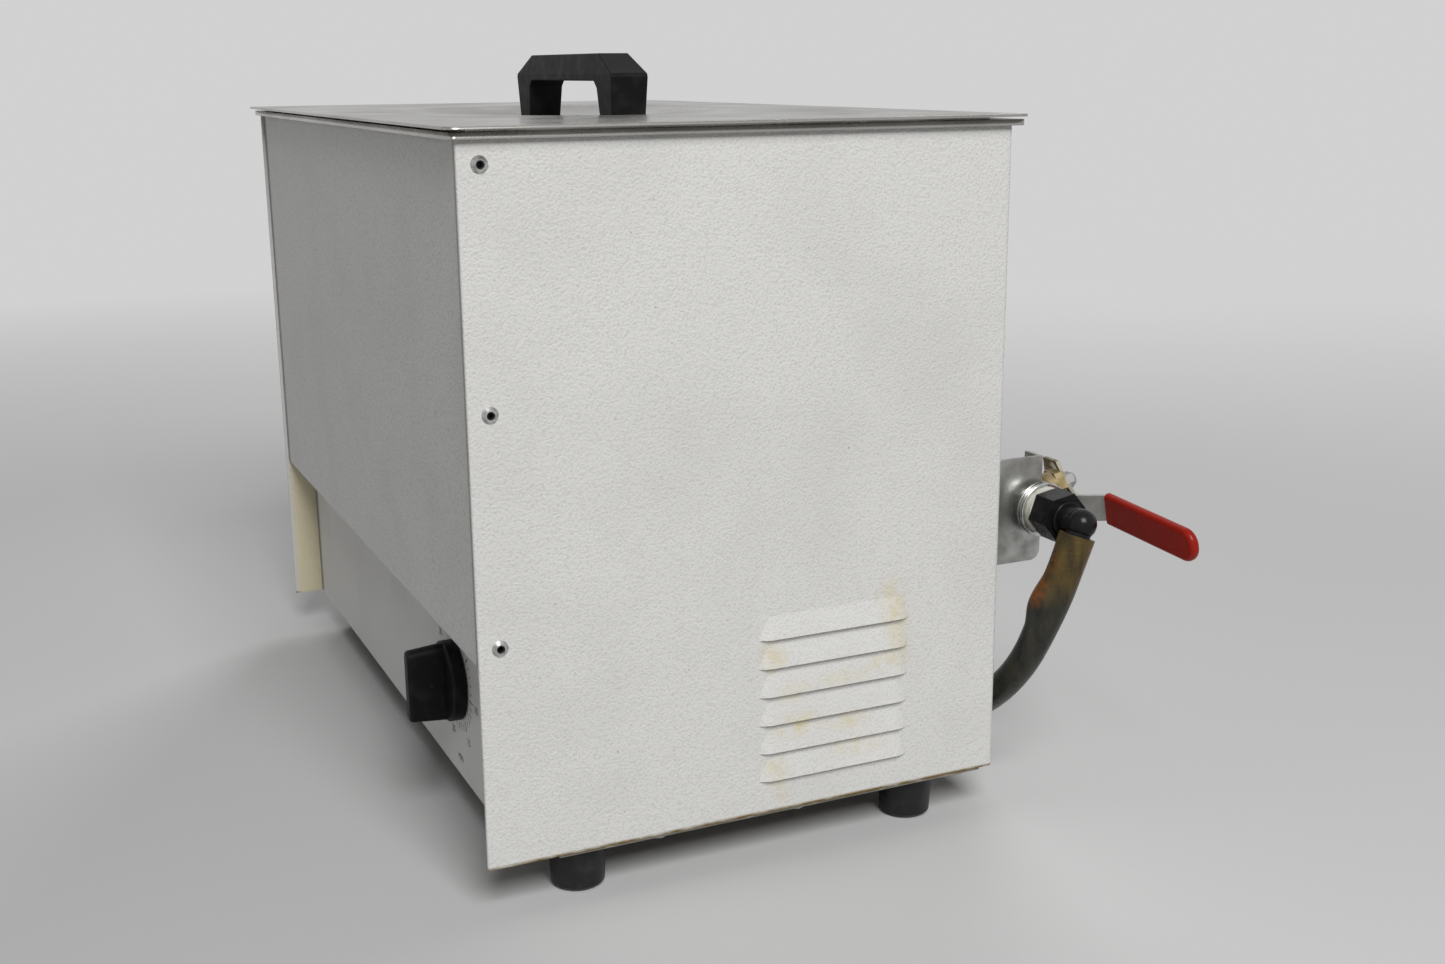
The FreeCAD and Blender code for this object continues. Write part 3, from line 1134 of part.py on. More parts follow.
lever_strip.Tool = lever_bend


def tip_corner(edge):
    """A test for the edges across the sheet at the tip of the arm or of its grip."""
    return runs_along("y")(edge) and edge.BoundBox.XMin > amount_of(GRIP_END) - 1


lever_ended = rounded("lever_ended", lever_strip, "grip_round - grip_wall", tip_corner)
stem_eye = rod("lever_stem_eye", "y", 3.05, (f"{SEAT} - 2", f"{SEAT} + 8"), (0, 0))
lock_slot = fuse("lock_slot", *[rod(f"lock_slot_end_{n}", "y", 2.2, (f"{SEAT} - 2", f"{SEAT} + 8"), place)
                                for n, place in enumerate(((-8, 11), (-6, 9), (-4, 7)))])
in_valve("valve_lever", cut("valve_lever", lever_ended, stem_eye, lock_slot))

grip_outline = [arm_edge("grip_start", 1, "grip_wall"), arm_edge("grip_tip", 1, "grip_wall"),
                arm_edge("grip_tip", -1, "grip_wall"), arm_edge("grip_start", -1, "grip_wall")]
grip_blank = padded("grip_blank", "XZ_Plane", grip_outline,
                    f"{ARM} - grip_wall", f"{ARM} + lever_sheet + grip_wall")
grip_ended = rounded("grip_ended", grip_blank, "grip_round", tip_corner)
grip_soft = rounded("grip_soft", grip_ended, 2.8, lambda e: not runs_along("y")(e)
                    and not at_level("x", "grip_start")(e))
SLIP = 0.05
pocket_outline = [arm_edge("grip_start - 2", 1, SLIP), arm_edge(f"{GRIP_END} + {SLIP}", 1, SLIP),
                  arm_edge(f"{GRIP_END} + {SLIP}", -1, SLIP), arm_edge("grip_start - 2", -1, SLIP)]
grip_pocket = padded("grip_pocket", "XZ_Plane", pocket_outline,
                     f"{ARM} - {SLIP}", f"{ARM} + lever_sheet + {SLIP}")
pocket_ended = rounded("pocket_ended", grip_pocket, f"grip_round - grip_wall + {SLIP}", tip_corner)
in_valve("lever_grip", cut("lever_grip", grip_soft, pocket_ended))
NUT_LOW = f"{SEAT} + lever_sheet"
NUT_HIGH = f"{NUT_LOW} + 7.4"
stem_nut_hex = hexagon("stem_nut_hex", "y", 10, (NUT_LOW, f"{NUT_LOW} + 5"), (0, 0))
stem_nut_collar = rod("stem_nut_collar", "y", 4.8, (f"{NUT_LOW} + 1", NUT_HIGH), (0, 0))
stem_nut_dome = rounded("stem_nut_dome", stem_nut_collar, 1.6, at_level("y", NUT_HIGH))
stem_nut_eye = rod("stem_nut_eye", "y", 3.05, (SEAT, f"{SEAT} + 12"), (0, 0))
in_valve("stem_nut", cut("stem_nut", fuse("stem_nut_solid", stem_nut_hex, stem_nut_dome), stem_nut_eye))


# Valve bracket: an angle screwed to the back wall, with a notch for the valve's neck and a stiffening lip
plate_x = ("bracket_x - bracket_sheet", "bracket_x")
bracket_sheets = fuse(
    "bracket_sheets",
    block("bracket_plate", plate_x, (BACK_Y, f"{BACK_Y} + bracket_reach"), ("bracket_low", "bracket_high")),
    block("bracket_leaf", ("bracket_x - 42", "bracket_x"), (BACK_Y, f"{BACK_Y} + bracket_sheet"),
          ("bracket_low", "bracket_high")),
    block("bracket_lip", ("bracket_x - 16", "bracket_x"),
          (f"{BACK_Y} + bracket_reach - bracket_sheet", f"{BACK_Y} + bracket_reach"),
          ("valve_z + 20", "bracket_high")))
bracket_round = rounded("bracket_round", bracket_sheets, 7,
                        lambda e: runs_along("x")(e) and at_level("z", "bracket_low")(e)
                        and at_level("y", f"{BACK_Y} + bracket_reach")(e))
NOTCH = 13.6
notch_x = ("bracket_x - 10", "bracket_x + 5")
bracket_cuts = [
    rod("bracket_notch", "x", NOTCH, notch_x, ON_VALVE),
    block("bracket_mouth", notch_x, ("valve_y", "valve_y + 30"),
          (f"valve_z - {NOTCH}", f"valve_z + {NOTCH}")),
]
bracket_screws = []
for side in (-1, 1):
    place = ("bracket_x - bracket_screw_inset", f"valve_z + {side} * bracket_screw_spread")
    bracket_cuts.append(rod(f"bracket_hole_{side + 1}", "y", SCREW_CLEAR,
                            (f"{BACK_Y} - 1", f"{BACK_Y} + 5"), place))
    head = hexagon(f"bracket_screw_head_{side + 1}", "y", 8,
                   (f"{BACK_Y} + bracket_sheet", f"{BACK_Y} + bracket_sheet + 4"), place)
    shank = rod(f"bracket_screw_shank_{side + 1}", "y", SCREW_CLEAR - 0.05,
                (f"{BACK_Y} - 9", f"{BACK_Y} + bracket_sheet"), place)
    bracket_screws.append(fuse(f"bracket_screw_{side + 1}", head, shank))
node("valve_bracket", cut("valve_bracket", bracket_round, *bracket_cuts))
node("bracket_screws", group("bracket_screws", bracket_screws))


# Sealing washer and hose elbow on the valve's outlet: pipe along x, hose leg swung towards the case
END_X = "valve_x + 33"
washer_disc = rod("washer_disc", "x", 15, (END_X, f"{END_X} + washer_thickness"), ON_VALVE)
washer_eye = rod("washer_eye", "x", "pipe_radius", (f"{END_X} - 1", f"{END_X} + washer_thickness + 1"),
                 ON_VALVE)
node("sealing_washer", cut("sealing_washer", washer_disc, washer_eye))
TO_VALVE = "valve_x - elbow_x"
HEX_FOOT = f"{END_X} - elbow_x + washer_thickness"
HEX_FACE = f"{HEX_FOOT} + elbow_hex_length"
elbow_solid = fuse("hose_elbow_solid",
                   rod("elbow_thread", "x", "pipe_radius - 0.1", (f"{TO_VALVE} + 18", f"{HEX_FOOT} + 1"),
                       ON_PIPE),
                   hexagon("elbow_hex", "x", 28, (HEX_FOOT, HEX_FACE), (0, 0)),
                   rounded("elbow_ring", rod("elbow_ring_blank", "x", "elbow_radius + 3",
                                             (f"{HEX_FACE} - 1", f"{HEX_FACE} + 2.5"), (0, 0)),
                           0.8, at_level("x", f"{HEX_FACE} + 2.5")),
                   rod("elbow_neck", "x", "elbow_radius + 1", (f"{HEX_FACE} - 1", 0), (0, 0)),
                   sphere("elbow_corner", "elbow_radius + 1.6", (0, 0, 0)),
                   rod("elbow_throat", "z", "elbow_radius", ("-elbow_leg", 0), (0, 0)),
                   rounded("elbow_collar", rod("elbow_collar_blank", "z", "elbow_collar",
                                               ("-elbow_leg", "3.6 - elbow_leg"), (0, 0)),
                           1, at_level("z", "3.6 - elbow_leg")),
                   rod("elbow_barb", "z", "hose_bore - 0.1", ("-elbow_leg - 9.5", "1 - elbow_leg"), (0, 0)))
hose_elbow = cut("hose_elbow", elbow_solid,
                 rod("elbow_way_x", "x", 4.5, (f"{TO_VALVE} + 17", 0), (0, 0)),
                 rod("elbow_way_z", "z", 4.5, (-29, 0), (0, 0)),
                 sphere("elbow_way_turn", 4.5, (0, 0, 0)))
node("hose_elbow", swung(hose_elbow, "elbow_x", "valve_y", "valve_z", Vector(1, 0, 0), "-elbow_swing"))


# Drain hose: down from the elbow, round behind the case and along the bench
swing = math.radians(amount_of("elbow_swing"))
leg_down = Vector(0, -math.sin(swing), -math.cos(swing))
elbow_centre = Vector(amount_of("elbow_x"), amount_of("valve_y"), amount_of("valve_z"))
hose_start = elbow_centre + leg_down * amount_of("elbow_leg")
HOSE_FIRST_RUN = 18
hose_route = [
    hose_start,
    hose_start + leg_down * HOSE_FIRST_RUN,
    Vector(296, 193.6, 141.7),
    Vector(289.5, 189.5, 119),
    Vector(277.5, 187.5, 95.5),
    Vector(258, 186.5, 73),
    Vector(232, 186.5, 52),
    Vector(200, 187, 34),
    Vector(163, 188.5, 19.5),
    Vector(122, 192, 11.5),
    Vector(77, 197.5, 9.8),
    Vector(30, 205, 9.7),
    Vector(-17, 211, 9.7),
    Vector(-62, 213, 9.7),
    Vector(-102, 211, 9.7),
]
hose_solid, hose_length, hose_radii = tube(hose_route, amount_of("hose_radius"))
bore_solid, _, _ = tube(hose_route, amount_of("hose_bore"))
hose = doc.addObject("Part::Feature", "drain_hose")
hose.Shape = hose_solid.cut(bore_solid)
node("drain_hose", hose)
section = math.pi * (amount_of("hose_radius") ** 2 - amount_of("hose_bore") ** 2)


# Checks, then one file for each sub-part
doc.recompute()
for obj in doc.Objects:
    if "Invalid" in obj.State or "Error" in obj.State:
        raise RuntimeError(f"{obj.Name} failed: {obj.State}")
for label, obj in nodes.items():
    if obj.Shape.isNull() or not obj.Shape.isValid() or not obj.Shape.Solids:
        raise RuntimeError(f"{label} has no valid solid")
print("hose length", round(hose_length, 1), "least radius", round(min(hose_radii), 1),
      "radii", [round(r) for r in hose_radii])
print("hose volume over section times length", round(hose.Shape.Volume / (section * hose_length), 4))
os.makedirs("parts", exist_ok=True)
for label, obj in nodes.items():
    obj.Shape.exportStep(f"parts/{label}.step")
print(len(nodes), "nodes")
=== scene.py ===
import math

import bpy
from mathutils import Matrix, Vector


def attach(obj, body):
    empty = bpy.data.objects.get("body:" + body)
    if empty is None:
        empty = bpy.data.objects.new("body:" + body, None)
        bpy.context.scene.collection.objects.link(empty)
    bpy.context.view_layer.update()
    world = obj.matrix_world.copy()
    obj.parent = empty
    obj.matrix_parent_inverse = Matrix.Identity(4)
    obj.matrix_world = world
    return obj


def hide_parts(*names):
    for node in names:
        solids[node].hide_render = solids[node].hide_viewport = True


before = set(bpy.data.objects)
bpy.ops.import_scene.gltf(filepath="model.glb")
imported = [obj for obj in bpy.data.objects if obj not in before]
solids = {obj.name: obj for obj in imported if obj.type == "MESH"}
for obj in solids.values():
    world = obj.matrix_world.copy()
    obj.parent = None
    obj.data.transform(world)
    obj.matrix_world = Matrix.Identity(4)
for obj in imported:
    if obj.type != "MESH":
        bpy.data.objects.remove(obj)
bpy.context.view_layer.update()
MM = 0.001


# Bottom pan: a flat plate of zinc-coated steel that closes the case from below, rusty at its cut edges.
# It is screwed up into the case's lower flanges, and the feet and the circuit board hang on it.
def start_finish(name):
    """A new material, with its shader and the place of each point on the piece."""
    finish = bpy.data.materials.new(name)
    finish.use_nodes = True
    shader = finish.node_tree.nodes["Principled BSDF"]
    spot = finish.node_tree.nodes.new("ShaderNodeTexCoord").outputs["Object"]
    return finish, shader, spot


def feed(finish, value, socket):
    """Joins an output to a socket, or writes a plain value on it."""
    if isinstance(value, bpy.types.NodeSocket):
        finish.node_tree.links.new(value, socket)
    else:
        socket.default_value = value


def mottle(finish, spot, size, detail=2.0, stretch=(1, 1, 1)):
    """Cloudy variation from 0 to 1, its patches about one size across and drawn out by a stretch."""
    nodes = finish.node_tree.nodes
    scaled = nodes.new("ShaderNodeMapping")
    scaled.inputs["Scale"].default_value = [1 / (size * s) for s in stretch]
    feed(finish, spot, scaled.inputs["Vector"])
    cloud = nodes.new("ShaderNodeTexNoise")
    cloud.inputs["Scale"].default_value = 1.0
    cloud.inputs["Detail"].default_value = detail
    feed(finish, scaled.outputs["Vector"], cloud.inputs["Vector"])
    return cloud.outputs["Fac"]


# Nearly all of a mottle lies within this span.
CLOUD_SPAN = (0.3, 0.7)


def spread(finish, value, low, high, start=0.0, end=1.0):
    """Maps a value between two bounds on to another span, and holds it there."""
    node = finish.node_tree.nodes.new("ShaderNodeMapRange")
    feed(finish, value, node.inputs["Value"])
    node.inputs["From Min"].default_value = low
    node.inputs["From Max"].default_value = high
    node.inputs["To Min"].default_value = start
    node.inputs["To Max"].default_value = end
    return node.outputs["Result"]


def combine(finish, first, second, operation="MULTIPLY"):
    """Two amounts taken together."""
    node = finish.node_tree.nodes.new("ShaderNodeMath")
    node.operation = operation
    feed(finish, first, node.inputs[0])
    feed(finish, second, node.inputs[1])
    return node.outputs["Value"]


def tint(finish, amount, under, over):
    """One colour over another, by an amount."""
    node = finish.node_tree.nodes.new("ShaderNodeMix")
    node.data_type = "RGBA"
    feed(finish, amount, node.inputs["Factor"])
    # The node's colour sockets come after its number and vector sockets.
    for value, socket in ((under, node.inputs[6]), (over, node.inputs[7])):
        feed(finish, value if isinstance(value, bpy.types.NodeSocket) else (*value, 1.0), socket)
    return node.outputs[2]


def relief(finish, shader, height, depth):
    """A surface relief of a real depth, on top of any that the finish has already."""
    node = finish.node_tree.nodes.new("ShaderNodeBump")
    for earlier in shader.inputs["Normal"].links:
        feed(finish, earlier.from_socket, node.inputs["Normal"])
    node.inputs["Distance"].default_value = depth
    feed(finish, height, node.inputs["Height"])
    feed(finish, node.outputs["Normal"], shader.inputs["Normal"])


def place_along(finish, spot, axis):
    """The coordinate of each point along one axis."""
    parts = finish.node_tree.nodes.new("ShaderNodeSeparateXYZ")
    feed(finish, spot, parts.inputs["Vector"])
    return parts.outputs[axis]


def along(finish, spot, axis, start, end):
    """How far a point is along an axis between two places, from 0 to 1."""
    return spread(finish, place_along(finish, spot, axis), start, end)


def dress(finish, *names):
    """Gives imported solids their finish."""
    for name in names:
        for mesh_slot in solids[name].material_slots:
            mesh_slot.material = finish


def metal(name, light, dark, rough, patch, stretch=(1, 1, 1), grain=0.4 * MM, grain_depth=0.01 * MM):
    """Bare or plated metal: its colour has dull and bright patches, its grain may run one way."""
    finish, shader, spot = start_finish(name)
    clouds = mottle(finish, spot, patch, detail=4.0)
    lines = mottle(finish, spot, grain, detail=3.0, stretch=stretch)
    colour = tint(finish, spread(finish, clouds, 0.35, 0.68), light, dark)
    dulled = spread(finish, clouds, *CLOUD_SPAN, start=-0.06, end=0.08)
    streaked = spread(finish, lines, *CLOUD_SPAN, start=rough - 0.05, end=rough + 0.05)
    shader.inputs["Metallic"].default_value = 1.0
    feed(finish, combine(finish, dulled, streaked, "ADD"), shader.inputs["Roughness"])
    feed(finish, colour, shader.inputs["Base Color"])
    relief(finish, shader, lines, grain_depth)
    return finish, shader, spot, colour


RUST_BROWN = (0.110, 0.072, 0.018)
PAN_RUST_PATCH = 9 * MM
PAN_EDGE_LOW = 27.2 * MM
PAN_EDGE_HIGH = 29.8 * MM
pan_zinc, pan_shader, pan_spot, pan_colour = metal(
    "pan_zinc", light=(0.46, 0.45, 0.42), dark=(0.30, 0.29, 0.26), rough=0.45, patch=14 * MM)
pan_rust = spread(pan_zinc, mottle(pan_zinc, pan_spot, PAN_RUST_PATCH, detail=5.0), 0.28, 0.50)
pan_rust = combine(pan_zinc, pan_rust, along(pan_zinc, pan_spot, "Z", PAN_EDGE_LOW, PAN_EDGE_HIGH))
feed(pan_zinc, tint(pan_zinc, pan_rust, pan_colour, RUST_BROWN), pan_shader.inputs["Base Color"])
feed(pan_zinc, spread(pan_zinc, pan_rust, 0.0, 1.0, start=1.0, end=0.1), pan_shader.inputs["Metallic"])
dress(pan_zinc, "bottom_pan")


# Feet: four tapered drums of black rubber, each with a bevelled lower edge.
# A screw in the hollow underside holds each one to the pan, with a nut inside the case.
def moulded(name, colour, worn, rough, grain, grain_depth, patch=9 * MM, gloss=0.3):
    """Moulded rubber or plastic: a fine even grain, with paler dusty patches."""
    finish, shader, spot = start_finish(name)
    clouds = mottle(finish, spot, patch, detail=5.0)
    dulled = spread(finish, clouds, 0.3, 0.75, start=rough - 0.05, end=rough + 0.12)
    feed(finish, tint(finish, spread(finish, clouds, 0.50, 0.80), colour, worn), shader.inputs["Base Color"])
    feed(finish, dulled, shader.inputs["Roughness"])
    shader.inputs["Specular IOR Level"].default_value = gloss
    relief(finish, shader, mottle(finish, spot, grain), grain_depth)
    return finish


black_rubber = moulded(
    "black_rubber", colour=(0.011, 0.011, 0.012), worn=(0.028, 0.028, 0.027), rough=0.40, grain=0.9 * MM,
    grain_depth=0.05 * MM, gloss=0.30)
dress(black_rubber, "foot_front_left", "foot_front_right", "foot_rear_left", "foot_rear_right")
screw_zinc = metal(
    "screw_zinc", light=(0.46, 0.46, 0.45), dark=(0.30, 0.30, 0.28), rough=0.36, patch=4 * MM)[0]
dress(screw_zinc, "foot_screws", "foot_nuts", "pan_screws")


# Case wrap: one steel sheet bent round both sides and the back, with hemmed front edges and pressed louvres.
# It has a warm white powder coat with an orange-peel skin, stained yellow round the louvres,
# grimy along the lower edge, and tinted cream inside the front cheeks.
COAT_WHITE = (0.640, 0.635, 0.615)
COAT_HANDLED = (0.560, 0.555, 0.538)
COAT_VALLEY_SHADE = (0.545, 0.540, 0.523)
COAT_ROUGH = (0.40, 0.54)
COAT_GLOSS = 0.35
HANDLING_PATCH = 75 * MM
SPECK_GREY = (0.20, 0.18, 0.15)
SPECK_SPACING = 3.4 * MM
PEEL = 1.5 * MM
PEEL_DEPTH = 0.55 * MM


def patch_at(finish, spot, centre, reach):
    """A soft patch that is 1 at its centre and fades to 0 at its reach along each axis."""
    nodes = finish.node_tree.nodes
    moved = nodes.new("ShaderNodeMapping")
    moved.vector_type = "TEXTURE"
    moved.inputs["Location"].default_value = centre
    moved.inputs["Scale"].default_value = reach
    feed(finish, spot, moved.inputs["Vector"])
    ball = nodes.new("ShaderNodeTexGradient")
    ball.gradient_type = "SPHERICAL"
    feed(finish, moved.outputs["Vector"], ball.inputs["Vector"])
    return ball.outputs["Fac"]


def powder_coat(name, peel_share, valley_shade_colour):
    """White powder coat: its colour so far, with faint handling marks, a few specks and painted shade
    darkening the peel's hollows.
    """
    finish, shader, spot = start_finish(name)
    peel = mottle(finish, spot, PEEL, detail=1.5)
    share = peel_share(finish, spot)
    handled = mottle(finish, spot, HANDLING_PATCH, detail=4.0)
    colour = tint(finish, spread(finish, handled, 0.45, 0.75, end=0.6), COAT_WHITE, COAT_HANDLED)
    # Painted shade: the peel's hollows get a darker colour, as light glancing over the skin would leave
    # them.
    valley_shade = combine(finish, spread(finish, peel, 0.50, 0.28, end=0.8), share)
    colour = tint(finish, valley_shade, colour, valley_shade_colour)
    specks = mottle(finish, spot, SPECK_SPACING, detail=1.0)
    colour = tint(finish, spread(finish, specks, 0.80, 0.82, end=0.6), colour, SPECK_GREY)
    feed(finish, spread(finish, peel, *CLOUD_SPAN, *COAT_ROUGH), shader.inputs["Roughness"])
    shader.inputs["Specular IOR Level"].default_value = COAT_GLOSS
    relief(finish, shader, combine(finish, peel, share), PEEL_DEPTH)
    return finish, shader, spot, colour


def even_peel(finish, spot):
    """The same peel all over."""
    return 1.0


# The case's peel hollows are painted a slightly darker white as shade.
case_coat, case_shader, case_spot, case_colour = powder_coat("case_coat", even_peel, COAT_VALLEY_SHADE)
SIDE_X = 278.5 * MM
STAIN_YELLOW = (0.57, 0.47, 0.21)
STAIN_DEPTH = 30 * MM
STAIN_BLOTCH = 8 * MM
STAIN_STRENGTH = 0.55
# Each stain: its place along Y and Z and its reach along Y and Z, in millimetres, and its strength.
STAINS = (
    (90, 150, 14, 19, 1.0),
    (93, 133, 11, 16, 0.9),
    (94, 117, 11, 13, 0.8),
    (82, 112, 15, 8, 0.8),
    (10, 127, 11, 13, 1.3),
    (25, 83, 20, 11, 1.2),
    (60, 80, 20, 9, 0.8),
    (12, 56, 10, 15, 0.9),
    (66, 63, 28, 10, 0.6),
    (24, 103, 16, 9, 0.8),
    (56, 107, 20, 8, 0.6),
    (16, 40, 9, 10, 0.7),
)
blotches = spread(case_coat, mottle(case_coat, case_spot, STAIN_BLOTCH, detail=4.0), *CLOUD_SPAN)
for y, z, wide, tall, amount in STAINS:
    stain = patch_at(case_coat, case_spot, (SIDE_X, y * MM, z * MM), (STAIN_DEPTH, wide * MM, tall * MM))
    stain = combine(case_coat, stain, blotches)
    stain = spread(case_coat, stain, 0.0, 0.7, end=STAIN_STRENGTH * amount)
    case_colour = tint(case_coat, stain, case_colour, STAIN_YELLOW)
GRIME_OLIVE = (0.150, 0.092, 0.010)
GRIME_START = 32.0 * MM
GRIME_FULL = 30.6 * MM
GRIME_PATCH = 13 * MM
grime = mottle(case_coat, case_spot, GRIME_PATCH, detail=5.0)
grime = spread(case_coat, grime, 0.26, 0.54, start=0.35)
grime = combine(case_coat, grime, along(case_coat, case_spot, "Z", GRIME_START, GRIME_FULL))
case_colour = tint(case_coat, grime, case_colour, GRIME_OLIVE)
CHEEK_CREAM = (0.70, 0.63, 0.43)
CHEEK_OUTSIDE = 276.6 * MM
CHEEK_INSIDE = 276.2 * MM
CHEEK_STRENGTH = 0.9
sideways = combine(case_coat, place_along(case_coat, case_spot, "X"), 0.0, "ABSOLUTE")
inner_cheek = spread(case_coat, sideways, CHEEK_OUTSIDE, CHEEK_INSIDE)
# Each edge of the cream-tinted cheeks: its axis, and where the tint starts and is full, in millimetres.
CHEEK_EDGES = (("Y", -164.4, -160), ("Y", -140, -143), ("Z", 150, 144))
for axis, start, end in CHEEK_EDGES:
    within = along(case_coat, case_spot, axis, start * MM, end * MM)
    inner_cheek = combine(case_coat, inner_cheek, within)
inner_cheek = combine(case_coat, inner_cheek, CHEEK_STRENGTH)
case_colour = tint(case_coat, inner_cheek, case_colour, CHEEK_CREAM)
feed(case_coat, case_colour, case_shader.inputs["Base Color"])
dress(case_coat, "case_wrap")


# Front panel: a second sheet, bent into the upper wall, the step and the set-back control panel.
# It has the same coat, smooth on the control panel, and the seams beside the hems are painted dark as shade.
STEP_LOW = 143 * MM
STEP_HIGH = 147 * MM


def wall_peel(finish, spot):
    """Full peel on the upper wall, none on the control panel below the step."""
    return along(finish, spot, "Z", STEP_LOW, STEP_HIGH)


# Painted shade: the upper wall's peel hollows are painted much darker, for the grey speckle that glancing
# light gives it.
WALL_VALLEY_SHADE = (0.43, 0.427, 0.412)
# Painted shadow: a dark band along each seam beside a hem, where the groove there is shaded.
SEAM_SHADE = (0.08, 0.076, 0.068)
SEAM_START = 266 * MM
SEAM_FULL = 269 * MM
SEAM_STRENGTH = 0.75
panel_coat, panel_shader, panel_spot, panel_colour = powder_coat("panel_coat", wall_peel, WALL_VALLEY_SHADE)
across = combine(panel_coat, place_along(panel_coat, panel_spot, "X"), 0.0, "ABSOLUTE")
seam = spread(panel_coat, across, SEAM_START, SEAM_FULL, end=SEAM_STRENGTH)
panel_colour = tint(panel_coat, seam, panel_colour, SEAM_SHADE)
feed(panel_coat, panel_colour, panel_shader.inputs["Base Color"])
dress(panel_coat, "front_panel")


# Dial print: minute marks and plain figures round the timer's knob, screen-printed in dark grey ink.
# The ink lies on the control panel's coat and stays with the case when the knob turns.
PANEL_FACE = -143 * MM
KNOB_CENTRE = Vector((150 * MM, PANEL_FACE, 95 * MM))
INK = 0.08 * MM
DIAL_MINUTES = 30
MINUTES_PER_FIGURE = 5
DIAL_TURN = math.radians(300)
TICK_RADIUS = 30.2 * MM
LONG_TICK = (0.9 * MM, 6 * MM)
SHORT_TICK = (0.5 * MM, 4 * MM)
FIGURE_RADIUS = 40 * MM
FIGURE_SIZE = 7 * MM
UNIT_WORD = "MIN"
UNIT_DROP = Vector((0, 0, -52 * MM))
UNIT_SIZE = 6 * MM
UPRIGHT = math.radians(90)


def select_only(*pieces):
    """Makes these the only selected objects, the first of them active."""
    bpy.ops.object.select_all(action="DESELECT")
    for piece in pieces:
        piece.select_set(True)
    bpy.context.view_layer.objects.active = pieces[0]


def printed(word, place, size):
    """A word or figure that stands upright on the control panel, as a mesh."""
    bpy.ops.object.select_all(action="DESELECT")
    bpy.ops.object.text_add(location=place, rotation=(UPRIGHT, 0, 0))
    text = bpy.context.view_layer.objects.active
    text.data.body = word
    text.data.size = size
    text.data.align_x = "CENTER"
    text.data.align_y = "CENTER"
    text.data.extrude = INK
    text.data.resolution_u = 4
    bpy.ops.object.convert(target="MESH")
    bpy.ops.object.transform_apply(location=True, rotation=True, scale=True)
    return bpy.context.view_layer.objects.active


marks = []
for minute in range(DIAL_MINUTES + 1):
    angle = DIAL_TURN * minute / DIAL_MINUTES
    outward = Vector((math.sin(angle), 0, math.cos(angle)))
    numbered = minute % MINUTES_PER_FIGURE == 0
    if numbered:
        marks.append(printed(str(minute), KNOB_CENTRE + outward * FIGURE_RADIUS, FIGURE_SIZE))
    bpy.ops.object.select_all(action="DESELECT")
    bpy.ops.mesh.primitive_plane_add(size=1, location=KNOB_CENTRE + outward * TICK_RADIUS,
                                     rotation=(UPRIGHT, angle, 0))
    tick = bpy.context.view_layer.objects.active
    tick.scale = (*(LONG_TICK if numbered else SHORT_TICK), 1)
    bpy.ops.object.transform_apply(location=True, rotation=True, scale=True)
    body = tick.modifiers.new("ink", "SOLIDIFY")
    body.thickness = 2 * INK
    body.offset = 0
    bpy.ops.object.modifier_apply(modifier="ink")
    marks.append(tick)
marks.append(printed(UNIT_WORD, KNOB_CENTRE + UNIT_DROP, UNIT_SIZE))
select_only(*marks)
bpy.ops.object.join()
dial = bpy.context.view_layer.objects.active
dial.name = "dial_print"
select_only(dial)
bpy.ops.object.transform_apply(location=True, rotation=True, scale=True)
dial_ink = moulded(
    "dial_ink", colour=(0.020, 0.021, 0.026), worn=(0.10, 0.10, 0.10), rough=0.50, grain=1.0 * MM,
    grain_depth=0.01 * MM)
dial.data.materials.clear()
dial.data.materials.append(dial_ink)
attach(dial, "base")


# Blind rivets: three down each front edge, of aluminium, which hold the case to the front panel's flanges.
# Each one has a hole, where the pin was pulled out, painted black as its shade.
RIVET_Y = -152.8 * MM
RIVET_HEIGHTS = (413 * MM, 285.4 * MM, 157.8 * MM)
RIVET_HOLE = 2.62 * MM
RIVET_DEPTH = 60 * MM
HOLE_SHADE_BLACK = (0.006, 0.006, 0.006)
# A hole's soft patch turns from metal to painted black shade between these two amounts.
HOLE_EDGE = (0.10, 0.14)
rivet_metal, rivet_shader, rivet_spot, rivet_colour = metal(
    "rivet_metal", light=(0.60, 0.60, 0.59), dark=(0.30, 0.30, 0.29), rough=0.30, patch=2.2 * MM)
hole = 0.0
for side in (-1, 1):
    for height in RIVET_HEIGHTS:
        centre = (side * SIDE_X, RIVET_Y, height)
        pit = patch_at(rivet_metal, rivet_spot, centre, (RIVET_DEPTH, RIVET_HOLE, RIVET_HOLE))
        hole = combine(rivet_metal, hole, spread(rivet_metal, pit, *HOLE_EDGE), "MAXIMUM")
# Painted shade: each hole's inside is coloured black and not metallic.
feed(rivet_metal, tint(rivet_metal, hole, rivet_colour, HOLE_SHADE_BLACK), rivet_shader.inputs["Base Color"])
feed(rivet_metal, spread(rivet_metal, hole, 0.0, 1.0, start=1.0, end=0.0), rivet_shader.inputs["Metallic"])
dress(rivet_metal, "panel_rivets")


# Tank: a tub drawn from stainless sheet, brushed along its length.
# It hangs in the case by its flat rim, whose turned-down edge is rolled and catches the light.
RIM_LOW = 425.5 * MM
RIM_HIGH = 429 * MM


def stainless(name, edge_low, edge_high):
    """Brushed stainless sheet, with an edge that rolls over between two heights."""
    finish, shader, spot, colour = metal(
        name, light=(0.43, 0.42, 0.40), dark=(0.31, 0.30, 0.28), rough=0.25, patch=70 * MM,
        stretch=(60, 1, 1), grain=0.35 * MM, grain_depth=0.004 * MM)
    rise = along(finish, spot, "Z", edge_low, edge_high)
    fall = combine(finish, combine(finish, rise, rise), -1.0)
    relief(finish, shader, fall, (edge_high - edge_low) / 2)
    return finish


dress(stainless("tank_steel", RIM_LOW, RIM_HIGH), "tank")


